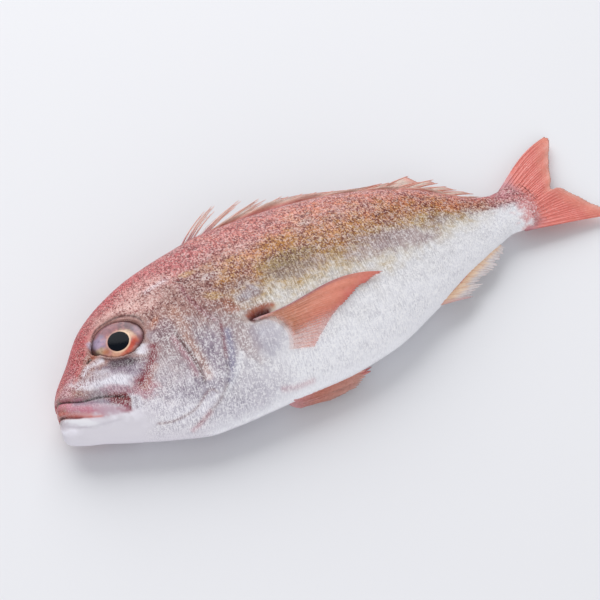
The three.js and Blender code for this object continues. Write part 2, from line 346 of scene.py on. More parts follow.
# Grooves and ridges of the head: half width, height, where they fade in and out, points.
grooves = {
    "mouthGap": (0.6, -1.8, (0.0, 0.75), [(-0.5, -8.6), (0.6, -10.4), (1.9, -12), (9.1, -16.9), (14, -19.7),
        (20, -22.6)]),
    "lipFold": (0.7, -1.1, (0.0, 0.04), lipLine),
    "lipEnd": (0.65, -0.9, (0.1, 0.3), [(33.1, -20), (31.9, -23.2), (29.4, -26.6)]),
    "upperLip": (3.2, 1.1, (0.05, 0.2), [(0.8, -6.2), (6, -11.4), (12, -15.3), (19, -18.9), (27, -22.6)]),
    "lipGroove": (0.6, -0.45, (0.3, 0.2), [(8.4, -10.4), (13.9, -12.4), (18.2, -14.8), (21.7, -17.4),
        (24.5, -20), (26.2, -23.1)]),
    "lowerLip": (1.8, 0.8, (0.1, 0.4), [(0.8, -13.2), (6, -18), (12, -21.6), (19, -24.8), (27, -27.2)]),
    "lowerLipCrease": (0.75, -0.28, (0.1, 0.5), [(1.2, -15.8), (7, -20.6), (14.5, -23.9), (21, -26),
        (27, -27.6)]),
    "jawRidge": (1.5, 0.45, (0.2, 0.4), [(1.6, -17.4), (7, -22), (14.5, -25.4), (22, -27.6), (28, -29)]),
    "cheekCrease": (1.9, -0.9, (0.25, 0.1), [(54.5, -1), (53.3, -5.1), (50.3, -10), (46, -13.7),
        (40, -17.4), (34, -20.2)]),
    "preopercle": (0.75, -0.9, (0.25, 0.1), [(67.5, 0.5), (67.2, -8), (68.6, -19.8), (68.6, -28.7),
        (67.2, -34.9)]),
    "preopercleRidge": (1.7, 0.75, (0.3, 0.2), [(65.6, 0), (65.2, -8), (66.5, -19.8), (66.4, -28.4),
        (64.8, -34)]),
    "preopercleFoot": (1.6, -0.6, (0.1, 0.5), [(67.2, -34.9), (62, -38.6), (53, -40.2), (45, -38.6),
        (37.9, -36.3)]),
    "subopercle": (0.8, -0.35, (0.1, 0.2), [(67, -34.6), (69.9, -36.4), (72.6, -40.6)]),
    "gillCrease": (0.8, -1.0, (0.1, 0.25), gillLine),
    "gillMembrane": (1.1, -0.35, (0.3, 0.3), [(93, -12), (92.6, -17.5), (89.5, -25), (85.6, -33.6),
        (79.6, -40), (72, -44)]),
    "browGroove": (0.9, -0.5, (0.2, 0.2), [(28.5, 11), (31, 17.8), (36, 21.2), (42, 21.8), (47.5, 20.6),
        (52.5, 17.2), (55.6, 12)]),
    "browRidge": (2.2, 0.7, (0.25, 0.3), [(29, 18), (36, 24), (43, 25), (50, 23.4), (56.5, 18)]),
    "nostrilCrease": (0.8, -0.6, (0.1, 0.2), [(22.7, 6.2), (24.2, 7.0), (26.6, 7.2), (29.2, 7.2)]),
    "nostrilRidge": (1.3, 0.55, (0.3, 0.3), [(17.5, 0.6), (22.5, 4.4), (29, 5.0), (33, 1.6)]),
    "axil": (1.9, -2.4, (0.25, 0.35), [(101.6, -15.4), (105, -14.4), (110, -14), (116, -15.4)]),
    "lateralLine": (0.7, 0.12, (0.02, 0.05), [(84, 25), (100, 30), (125, 32), (155, 29.5), (185, 23),
        (215, 13.5), (245, 6), (275, 4)]),
}

# Steps of the head: height, how far it dies away, half width, side that stands proud (1 is left of the
# line's direction), where they fade in and out, points.
steps = {
    "preorbitalEdge": (1.0, 7, 0.5, 1, (0.25, 0.05), lipLine),
    "lipEndRim": (0.7, 3, 0.4, 1, (0.1, 0.3), [(33.4, -19.8), (32.9, -23.4), (30.8, -27)]),
    "opercleEdge": (1.1, 9, 0.55, -1, (0.12, 0.25), [(79.5, 24.5), *gillLine]),
    "pectoralBaseEdge": (0.8, 8, 1.2, -1, (0.1, 0.35), [(106.5, -17), (112, -20.4), (115.4, -25.8),
        (115.9, -32), (113.4, -36.6), (108, -38.6)]),
}

# Soft swellings and hollows: middle, radii, turn in degrees, height.
headForms = {
    "preorbital": ((29.5, -8.5), (12, 6.5), -28, 1.3),
    "cheek": ((52, -22), (12, 13), -20, 0.9),
    "opercle": ((77, -12), (8, 22), -6, 0.5),
    "chin": ((12, -28), (12, 3.5), -14, -0.4),
    "chinCorner": ((2.5, -24), (5, 4), -40, -0.6),
    "temple": ((60, 8), (9, 9), 0, 0.5),
    "pectoralPad": ((108.5, -27), (8, 9), 20, 0.9),
    "axilHollow": ((108.4, -14.6), (6, 2.2), -4, -1.6),
    "gillHollow": ((92.5, -20), (3.6, 12), -8, -0.5),
}

orbit = {
    "centre": (41.9, 10.2), "radii": (12.7, 10.4), "turn": -24.0,
    "corner": (31.2, 11.2), "cornerRadii": (4.2, 4.4),      # the narrow front corner
    "depth": 4.6, "rim": 0.4,
}


def fadeOf(part, fade):
    # swells in and dies out towards the ends of a line
    start, end = fade
    swell = smooth(0, start, part) if start else 1
    return swell * (smooth(0, end, 1 - part) if end else 1)


def headRelief(twin):
    # how far each point of the skin stands out, in millimetres
    height = np.zeros(len(twin))
    for centre, radii, turn, rise in headForms.values():
        height += rise * np.exp(-ellipse(twin, centre, radii, turn) ** 2)
    for width, rise, fade, line in grooves.values():
        distance, part, _ = alongLine(twin, line)
        height += rise * fadeOf(part, fade) * np.exp(-((distance / width) ** 2))
    for rise, reach, sharp, proudSide, fade, line in steps.values():
        distance, part, side = alongLine(twin, line)
        proud = distance * side * proudSide
        edge = smooth(-sharp, sharp, proud) * np.exp(-np.maximum(proud, 0) / reach)
        height += rise * fadeOf(part, fade) * edge * (distance < 4 * reach)
    ring = np.minimum(ellipse(twin, orbit["centre"], orbit["radii"], orbit["turn"]),
                      ellipse(twin, orbit["corner"], orbit["cornerRadii"]))
    inside = 1 - smooth(0.93, 1.05, ring)
    height = height * (1 - inside) - orbit["depth"] * inside
    return height + orbit["rim"] * np.exp(-((ring - 1.1) / 0.09) ** 2)


def scaleCells(u, v):
    # height inside the staggered shingles of scales, 0 where a scale starts and 1 at its rear edge
    best = np.full(len(u), -9.0)
    for shift in (0.0, 0.5):
        across = v / 2 + shift
        off = across - np.round(across)
        rear = u + shift - skin["scaleCurve"] * off**2
        best = np.maximum(best, rear - np.floor(rear) - skin["scaleFall"] * off**2)
    return np.clip(best, 0, 1)


def scalesBefore(x):
    # how many scales lie in a row from the snout to x
    whole = np.arange(int(fish["stations"][-1][0]) + 2)
    pitch = skin["scaleLength"] * throughPoints(*zip(*skin["scaleSizes"]))(whole)
    return np.interp(x, np.arange(len(whole) + 1), np.concatenate([[0], np.cumsum(1 / pitch)]))


def makeMesh(name, bm):
    mesh = bpy.data.meshes.new(name)
    bm.to_mesh(mesh)
    bm.free()
    piece = bpy.data.objects.new(name, mesh)
    bpy.context.scene.collection.objects.link(piece)
    mesh.shade_smooth()
    return piece


def pointsOf(mesh):
    points = np.zeros(3 * len(mesh.vertices))
    mesh.vertices.foreach_get("co", points)
    return points.reshape(-1, 3)


def movePoints(mesh, points):
    mesh.vertices.foreach_set("co", np.ascontiguousarray(points, float).ravel())
    mesh.update()


def normalsOf(mesh):
    normals = np.zeros(3 * len(mesh.vertices))
    mesh.vertices.foreach_get("normal", normals)
    return normals.reshape(-1, 3)


def layerValues(mesh, name):
    values = np.zeros(len(mesh.vertices))
    mesh.attributes[name].data.foreach_get("value", values)
    return values


def paintNumber(mesh, name, values):
    layer = mesh.attributes.new(name, "FLOAT", "POINT")
    layer.data.foreach_set("value", np.ascontiguousarray(values, float))


def paintColour(mesh, name, colours):
    layer = mesh.attributes.new(name, "FLOAT_COLOR", "POINT")
    layer.data.foreach_set("color", np.hstack([colours, np.ones((len(colours), 1))]).ravel())


tints = {name: colourOf(*picked) for name, picked in {
    "coral": (197, 75, 81), "nape": (198, 96, 100), "rose": (198, 110, 108), "salmon": (220, 138, 118),
    "sand": (208, 142, 92), "olive": (180, 142, 78), "pewter": (212, 201, 184), "silver": (227, 226, 229),
    "white": (240, 240, 245), "blush": (208, 146, 142), "ashRose": (166, 124, 116), "ash": (176, 156, 158),
    "pinkGrey": (202, 190, 198), "frost": (244, 241, 250), "mist": (204, 200, 211), "chin": (220, 216, 224),
    "lavender": (190, 180, 204), "greyLavender": (148, 134, 152), "plum": (112, 84, 102),
    "mauve": (168, 102, 120), "mauvePink": (188, 126, 138), "lipPink": (198, 126, 144),
    "lipPale": (196, 168, 182), "lipRed": (218, 96, 78), "wine": (140, 58, 68), "deepRed": (122, 34, 34),
    "dark": (30, 12, 16), "umber": (82, 46, 44), "rust": (172, 88, 58), "slate": (62, 40, 52),
    "taupe": (156, 130, 134), "tan": (200, 150, 126), "amber": (204, 122, 66), "gold": (180, 120, 32),
    "straw": (198, 160, 92), "brown": (144, 88, 52), "iceBlue": (154, 150, 174), "cream": (226, 180, 172),
    "tailPink": (216, 138, 138), "greyPink": (184, 140, 142), "moss": (142, 126, 88),
    "breast": (212, 208, 214),
}.items()}

skinPaint = {
    # colours round the body, from the back (0) to the belly (1)
    "body": [(0, "cream"), (0.1, "rose"), (0.28, "salmon"), (0.39, "sand"), (0.49, "olive"),
        (0.57, "pewter"), (0.66, "silver"), (0.78, "white"), (1, "white")],
    "front": [(0, "nape"), (0.14, "rose"), (0.3, "rose"), (0.4, "ashRose"), (0.5, "ashRose"), (0.6, "ash"),
        (0.72, "breast"), (0.86, "mist"), (1, "white")],
    "head": [(0, "coral"), (0.16, "coral"), (0.28, "blush"), (0.37, "ashRose"), (0.48, "ashRose"),
        (0.55, "ash"), (0.66, "pinkGrey"), (0.76, "frost"), (0.85, "chin"), (1, "chin")],
    "rear": [(0, "mauve"), (0.2, "rose"), (0.33, "rose"), (0.43, "tan"), (0.5, "silver"), (0.6, "white"),
        (1, "white")],
    # where the head's colours end: y and x
    "gillEdge": [(-50, 60), (-40, 72), (-15, 87), (-8, 90), (5, 84), (25, 80), (50, 66)],
    # broken tones: colour, size, seed, from and to across, from and to along, amount
    "mottles": [
        ("gold", 4.5, 11, 0.32, 0.48, 108, 235, 0.8), ("brown", 3.0, 12, 0.28, 0.46, 130, 262, 0.6),
        ("greyPink", 6, 13, 0.05, 0.42, 88, 250, 0.5), ("nape", 5, 14, 0.0, 0.25, 60, 150, 0.5),
        ("straw", 3, 15, 0.36, 0.56, 100, 190, 0.35), ("silver", 2.4, 16, 0.44, 0.62, 100, 260, 0.35),
        ("amber", 3, 17, 0.12, 0.42, 150, 262, 0.45),
    ],
    # patches: colour, x, y, half length, half width, turn in degrees, amount
    "patches": [
        # nape, snout and shoulder
        ("nape", 84, 42, 26, 12, -14, 0.4), ("coral", 16, 9, 22, 6, 52, 0.8),
        ("mauvePink", 12, 4, 11, 2.6, 48, 0.4), ("rose", 122, 34, 30, 11, 0, 0.6),
        ("greyPink", 112, 27, 16, 6, -10, 0.4), ("gold", 103, 9.5, 7.4, 3, -22, 1.0),
        ("straw", 93, 6, 6, 2.6, -38, 0.7), ("rust", 97, -3, 3.6, 6, 18, 0.5),
        ("silver", 97, 18, 5, 2.4, 0, 0.5), ("straw", 88, 25.5, 5, 2.2, -10, 0.6),
        ("deepRed", 82.6, 24.6, 2.6, 1.6, -20, 0.9),
        # flank
        ("amber", 126, 19, 9, 4, -14, 0.5), ("cream", 125, 25, 10, 4.6, -12, 0.45),
        ("cream", 186, 25, 14, 4, -14, 0.35), ("brown", 129, 19.5, 4.6, 2.2, 0, 0.6),
        ("gold", 136, 20, 13, 4.5, -6, 0.7), ("iceBlue", 110, -1.5, 8, 4, 0, 0.55),
        ("olive", 132, 9, 14, 6, -4, 0.8), ("ash", 196, -2, 25, 7, -8, 0.85),
        ("ash", 96, -22, 6, 12, 10, 0.7), ("taupe", 107, 6, 8, 4, -10, 0.5),
        ("ash", 139, 0, 18, 5, -6, 0.55), ("gold", 134, 17, 10, 5, -6, 0.6),
        ("moss", 136, 8, 17, 5, -4, 0.6), ("moss", 133, 1.6, 15, 5, -6, 0.4),
        ("ash", 176, -5, 16, 5, -6, 0.6), ("silver", 157, 26, 6, 2.2, -8, 0.35),
        ("brown", 199, 15, 8, 3, -6, 0.5), ("amber", 239, 10, 9, 3.6, 0, 0.6),
        ("greyLavender", 226, 3, 10, 4, 0, 0.35),
        # tail root
        ("mauvePink", 272, 8, 13, 8, 10, 0.7), ("mauvePink", 279, 12, 11, 12, 0, 0.8),
        ("tailPink", 283, 0, 14, 23, 0, 0.95),
        # pad under the pectoral fin
        ("iceBlue", 106, -26, 9, 10, 15, 0.4), ("mist", 110, -26, 6, 8, 15, 0.4),
        # under the eye
        ("lavender", 36, -9, 14, 8, -22, 0.55), ("plum", 37, -7, 11, 3.2, -24, 0.5),
        # the slate and plum marks just under the eye's rim are darker skin with painted shade from the rim
        # over it
        ("slate", 38.4, -3.8, 9, 2.6, -24, 0.9), ("plum", 34, -3.6, 7, 2.2, -22, 0.6),
        ("pinkGrey", 24, -6, 12, 6, -30, 0.75), ("slate", 26, -11.5, 8, 1.6, -34, 0.5),
        # the frost patch at 30.4, -11.6 is a painted highlight on the bulge of the preorbital
        ("frost", 30.4, -11.6, 9.4, 4.2, -27, 0.95), ("frost", 18, -4.6, 9, 3, -30, 0.8),
        ("mauve", 30, -15, 9, 2.6, -32, 0.65), ("mist", 27, -3, 5, 2, -24, 0.5),
        ("plum", 30, -1.5, 5, 1.4, -24, 0.5),
        # behind the eye
        ("cream", 60, 22, 12, 6, -30, 0.6), ("pinkGrey", 56.5, 2, 3, 4, 0, 0.5),
        ("tan", 71.5, 0, 4, 14, 0, 0.4), ("ash", 58, -6, 7, 9, 0, 0.5),
        ("amber", 60.5, 7, 4.6, 1.8, 42, 0.75), ("wine", 52.4, -4.4, 2, 1.2, 0, 0.7),
        ("lavender", 29.6, 14, 2, 4, 20, 0.8),
        # cheek and gill cover
        ("pinkGrey", 48, -30, 16, 7, -14, 0.3), ("mauvePink", 41, -20, 8, 5, -30, 0.8),
        # the grey-lavender patches at the cover's lower rear (64, -33), by the gill opening (80, -22) and
        # behind the preopercle (72, -18) are painted shade
        ("greyLavender", 64, -33, 13, 6, -10, 0.65), ("greyLavender", 80, -22, 6, 14, 0, 0.48),
        ("greyLavender", 72, -18, 9, 13, -10, 0.42), ("greyLavender", 62, 2, 8, 7, 0, 0.4),
        ("taupe", 62, -10, 7, 10, 0, 0.5), ("ash", 68, -14, 6, 13, 0, 0.5),
        ("cream", 68, 32, 18, 6, -8, 0.5), ("pinkGrey", 9, -1, 4, 6, -40, 0.4),
        ("frost", 49.5, -2.4, 5, 3, -24, 0.95),
        # lips and chin
        ("lipPink", 12, -13.4, 12.5, 3.4, -40, 0.95), ("lipPale", 24, -21.6, 4.6, 2.4, -40, 0.7),
        ("lipPale", 20.4, -18.6, 7, 3, -38, 0.8), ("wine", 27, -18.2, 7.4, 2.8, -34, 0.95),
        ("wine", 30.6, -21.4, 2.2, 4.4, -14, 0.95), ("deepRed", 29.4, -18.6, 4, 1.4, -36, 0.7),
        ("mauve", 28.4, -23.4, 5, 1.8, -34, 0.6), ("chin", 16, -28, 20, 5.4, -16, 0.95),
        ("chin", 12, -22, 14, 2.6, -36, 0.9), ("white", 9, -19.4, 8, 1.6, -38, 0.7),
    ],
    # lines: colour, points, half width, amount
    "lines": [
        # round the eye
        ("cream", [(36, 25.4), (46, 27), (54.7, 24.6), (59.6, 20)], 3.0, 0.8),
        # the thin frost line on the nape is a painted highlight
        ("frost", [(64, 27.5), (70, 28.6), (80, 28.8)], 1.5, 0.55),
        ("frost", [(31.4, 2.6), (27.5, 3.4), (22, 3.6), (17.5, 0.2)], 1.5, 0.85),
        ("rust", [(22.4, 6), (25.5, 7.4), (29, 8.6)], 1.7, 0.7),
        # the dark line in the nostril is painted shade in its opening
        ("dark", [(22.6, 6.2), (24.4, 7.1), (26.2, 7.4)], 0.8, 0.95),
        ("umber", [(28.4, 12), (31, 18), (36, 22), (43, 22.6), (49, 21.2), (54, 17.4), (56, 12),
            (55.4, 6)], 0.55, 0.9),
        ("umber", [(29, 5.6), (33, 1.6), (39, -1.6), (45.5, -1.6), (51, 1), (54.6, 5.6)], 0.6, 0.7),
        # painted shade under the eye's rim, over darker skin
        ("slate", [(32, -1.6), (37, -3.4), (43, -5.2)], 1.8, 0.75),
        ("tan", [(51.5, -11.5), (45.5, -16.8), (39, -20.6)], 2.4, 0.55),
        ("wine", [(54.2, -1), (52.8, -6.5), (49, -11.5), (44, -15.4), (38, -18.4)], 2.8, 0.95),
        # lips and mouth
        ("lipRed", [(0.4, -8.4), (5, -13), (10, -16.4), (15, -19.2)], 1.0, 0.45),
        ("greyLavender", [(7, -8.8), (13, -12.2), (20, -15), (25, -18.4)], 1.5, 0.7),
        ("plum", [(1, -0.6), (7, -5.2), (13, -8.8), (21, -11.2), (28, -15)], 1.4, 0.4),
        # the dark line along the lip fold is painted shade in the crease
        ("dark", [(0.3, -1.8), (6, -6.6), (12.2, -10.4), (20.3, -13), (27, -16.4),
            (33.1, -20.2)], 0.45, 0.8),
        ("wine", [(33, -20.2), (31.9, -23.2), (30.4, -26)], 0.45, 0.9),
        ("white", [(34, -20.2), (32.9, -23.4), (31.4, -26.6)], 0.5, 0.55),
        ("plum", [(35.6, -21.4), (34.8, -24.4), (33.2, -27)], 0.9, 0.5),
        ("lipRed", [(2, -12), (9, -16.8), (14, -19.6), (19, -22)], 0.6, 0.6),
        ("deepRed", [(-0.5, -8.8), (1.9, -12.4), (6, -15.6), (10, -18)], 0.5, 0.9),
        ("greyLavender", [(1.6, -16), (7, -20.7), (14.5, -23.8), (26.8, -27.4)], 0.6, 0.2),
        # cheek and gill cover
        ("umber", [(67.4, -1), (67.2, -8), (68.6, -19.8), (68.6, -28.7), (67.2, -34)], 0.8, 0.8),
        ("mauvePink", [(65, -3), (64.9, -10), (66.2, -20), (65.8, -30)], 1.6, 0.5),
        ("tan", [(70.6, -5), (71.4, -18), (71.4, -28), (70, -33.4)], 2.2, 0.55),
        ("taupe", [(38, -36.2), (47.5, -39.6), (58.5, -40.1), (66.2, -36.6), (69.9, -36.4),
            (72.5, -40.4)], 0.7, 0.8),
        ("mauve", [(82, 22), (81.3, 16), (81.9, 9.4), (84.8, -2), (89, -9)], 1.5, 0.5),
        ("wine", [(88.8, -8.4), (87, -15.6), (84.2, -22.6), (82.2, -28)], 0.9, 0.8),
        ("taupe", [(82.2, -28), (79.4, -35), (72.7, -40.8), (62.3, -44.8), (54, -46.2)], 0.9, 0.6),
        ("mauvePink", [(66, -43.4), (60, -45.6), (52, -46.4)], 1.3, 0.5),
        ("iceBlue", [(90.4, -12), (88.8, -18), (86.6, -25), (83, -32.5), (77.4, -39)], 2.2, 0.85),
        # the white line along the gill membrane's edge is a painted highlight
        ("white", [(92, -26), (86, -32.6), (80.5, -37.4), (72, -42)], 1.2, 0.7),
        # hollow behind the pectoral fin's root
        ("rust", [(101, -13.4), (107, -11.4), (113, -11.6), (118, -14)], 1.6, 0.85),
        ("deepRed", [(101.6, -15.4), (105.5, -14), (110.5, -13.8), (114.6, -15.2)], 1.9, 1.0),
        # the dark line in the hollow is painted shade
        ("dark", [(101.4, -15.4), (104.5, -14.6), (110, -14.4), (114, -15.4)], 1.1, 0.8),
        ("mauvePink", [(100, -48.6), (108, -50.4), (120, -51)], 1.6, 0.4),
    ],
}


def skinColours(points, twin, height):
    x, y = twin[:, 0], twin[:, 1]
    broad, medium = cloud(points, 13, 1), cloud(points, 4.5, 2)
    small = cloud(points, 2, 3, 2)
    h = height + 0.045 * broad + 0.035 * medium

    def around(bands):
        stops = [stop for stop, _ in bands]
        return np.stack([np.interp(h, stops, [tints[name][c] for _, name in bands]) for c in range(3)], -1)

    def blend(base, mask, other):
        return base + np.clip(mask, 0, 1)[:, None] * (other - base)

    colours = around(skinPaint["body"])
    colours = blend(colours, smooth(118, 88, x + 6 * broad), around(skinPaint["front"]))
    colours = blend(colours, smooth(232, 262, x + 4 * medium), around(skinPaint["rear"]))
    for name, size, seed, top, low, front, rear, amount in skinPaint["mottles"]:
        place = smooth(top - 0.05, top + 0.04, h) * smooth(low + 0.05, low - 0.04, h)
        place = place * smooth(front - 8, front + 8, x) * smooth(rear + 8, rear - 8, x)
        broken = smooth(-0.05, 0.3, cloud(points, size, seed, 2))
        colours = blend(colours, amount * place * broken, tints[name])
    gill = np.interp(y, *zip(*skinPaint["gillEdge"]))
    colours = blend(colours, smooth(5, -5, x - gill + 2 * medium), around(skinPaint["head"]))
    for name, cx, cy, rx, ry, turn, amount in skinPaint["patches"]:
        ring = ellipse(twin, (cx, cy), (rx, ry), turn) + 0.3 * medium + 0.22 * small
        colours = blend(colours, amount * smooth(1.25, 0.5, ring), tints[name])
    for name, line, width, amount in skinPaint["lines"]:
        distance, part, _ = alongLine(twin, line)
        mask = np.exp(-((distance / width) ** 2)) * fadeOf(part, (0.08, 0.12))
        colours = blend(colours, amount * mask * (1 + 0.25 * small), tints[name])
    ridge = np.exp(-((height / 0.022) ** 2)) * smooth(90, 110, x)
    return np.clip(blend(colours, 0.5 * ridge, tints["mauve"]), 0, 1)


# Where the skin is smooth: middle, radii, turn, where it starts and where it is full, amount.
smoothPlaces = {
    "chin": ((14, -26), (26, 9), -20, 1.2, 0.8, 1.0),
    "lips": ((12, -14), (18, 5), -38, 1.2, 0.8, 0.6),
    "pectoralPad": ((108, -27), (10, 12), 15, 1.2, 0.8, 0.45),
    "axil": ((109, -14.4), (9, 3.4), -4, 1.4, 0.9, 0.85),
}


def skinGrain(twin, height):
    # how strong the dark specks and the painted highlights are: coarse on the back, smooth on chin and lips
    x = twin[:, 0]
    head = smooth(88, 76, x)
    forehead = head * smooth(0.36, 0.24, height)
    muzzle = smooth(1.2, 0.6, ellipse(twin, (30, -8), (18, 12), -26))
    cheek = smooth(1.2, 0.7, ellipse(twin, (60, -14), (20, 26), 0))
    socket = smooth(1.5, 1.2, ellipse(twin, orbit["centre"], orbit["radii"], orbit["turn"]))
    grain = (1 - 0.6 * smooth(0.86, 0.95, height)) * (1 - 0.6 * socket)
    for centre, radii, turn, start, full, amount in smoothPlaces.values():
        grain *= 1 - amount * smooth(start, full, ellipse(twin, centre, radii, turn))
    specks = 0.3 + 0.7 * smooth(0.64, 0.46, height)
    specks = specks + head * (0.58 - specks) + 0.22 * forehead + 0.05 * muzzle
    glints = 0.55 + 0.25 * smooth(0.56, 0.7, height) - 0.15 * forehead + 0.15 * cheek - 0.25 * muzzle
    shoulder = smooth(1.4, 0.6, ellipse(twin, (140, 0), (32, 8), -5))
    return specks * grain, glints * grain * (1 - 0.4 * shoulder)


def makeSkin():
    bm = bmesh.new()
    bmesh.ops.create_grid(bm, x_segments=skin["rings"], y_segments=skin["columns"], size=0.5)
    grid = np.array([v.co for v in bm.verts]) + 0.5
    key = grid[:, 0] * lastKey
    left = grid[:, 1] < skin["leftShare"]
    angle = np.where(left, math.pi * grid[:, 1] / skin["leftShare"],
                     math.pi * (1 + (grid[:, 1] - skin["leftShare"]) / (1 - skin["leftShare"])))
    points = bodyPoint(key, angle)
    twinAngle = np.where(angle <= math.pi, angle, 2 * math.pi - angle)
    height = twinAngle / math.pi
    for v, co in zip(bm.verts, points):
        v.co = co
    for name, values in (("key", key), ("height", height), ("across", twinAngle), ("turn", angle)):
        layer = bm.verts.layers.float.new(name)
        for v, value in zip(bm.verts, values):
            v[layer] = value
    scaleMap = bm.loops.layers.uv.new("scales")
    for v, u, turned in zip(bm.verts, scalesBefore(points[:, 0]), angle / math.pi):
        for loop in v.link_loops:
            loop[scaleMap].uv = (u, turned * skin["scaleRows"])
    bmesh.ops.remove_doubles(bm, verts=bm.verts, dist=1e-4)
    rim = [e for e in bm.edges if e.is_boundary]
    bmesh.ops.holes_fill(bm, edges=rim, sides=0)
    bmesh.ops.recalc_face_normals(bm, faces=bm.faces)
    piece = makeMesh("skin", bm)
    mesh = piece.data
    print("skin wrapped:", len(mesh.vertices), "vertices")
    key, height, turn, across = (layerValues(mesh, name) for name in ("key", "height", "turn", "across"))
    points = pointsOf(mesh)
    twin = bodyPoint(key, across)
    normals = normalsOf(mesh)
    relief = headRelief(twin)
    scaled = smooth(40, 62, twin[:, 0] + 0.35 * twin[:, 1])      # the snout and the cheek's front have none
    cells = scaleCells(scalesBefore(twin[:, 0]), turn / math.pi * skin["scaleRows"])
    relief += skin["scaleRelief"] * scaled * (cells - 0.4)
    moved = points + normals * relief[:, None]
    end = smooth(0.93 * lastKey, lastKey, key)
    moved[:, 0] += skin["tailBulge"] * end * np.sin(across) ** 1.5
    moved[:, 0] -= skin["jawBulge"] * np.exp(-ellipse(twin, skin["jaw"], skin["jawRadii"]) ** 2)
    moved[:, 2] = np.maximum(moved[:, 2], 0)
    movePoints(mesh, inFrame(moved))
    paintColour(mesh, "paint", skinColours(points, twin, height))
    paintNumber(mesh, "scaled", scaled)
    paintNumber(mesh, "tailEnd", smooth(269, 284, twin[:, 0]))
    specks, glints = skinGrain(twin, height)
    paintNumber(mesh, "specks", specks)
    paintNumber(mesh, "glints", glints)
    paintNumber(mesh, "silvery", smooth(0.42, 0.56, height))
    for name in ("key", "across", "turn", "height"):
        mesh.attributes.remove(mesh.attributes[name])
    mesh.shade_smooth()
    print("skin shaped")
    return piece


wetSkin = {
    "grains": 1.4, "headGrains": 2.3,       # to a millimetre
    "darkFrom": 0.66, "highlightFrom": 0.74,     # the chance above which a grain is dark or pale
    # dark specks, and the painted shade at the scales' edges, multiply by these
    "backDepth": (0.3, 0.08, 0.08), "flankDepth": (0.66, 0.65, 0.68),       # dark marks multiply by these
    # the pale grains are painted highlights standing in for glints off the scales: their tints and how far
    # they lighten
    "backHighlight": (1.0, 0.84, 0.8), "flankHighlight": (1.0, 0.99, 1.0), "highlightMix": 0.6,
    "specular": 0.22, "coat": 0.1, "coatRoughness": 0.2, "bump": 0.4,
}


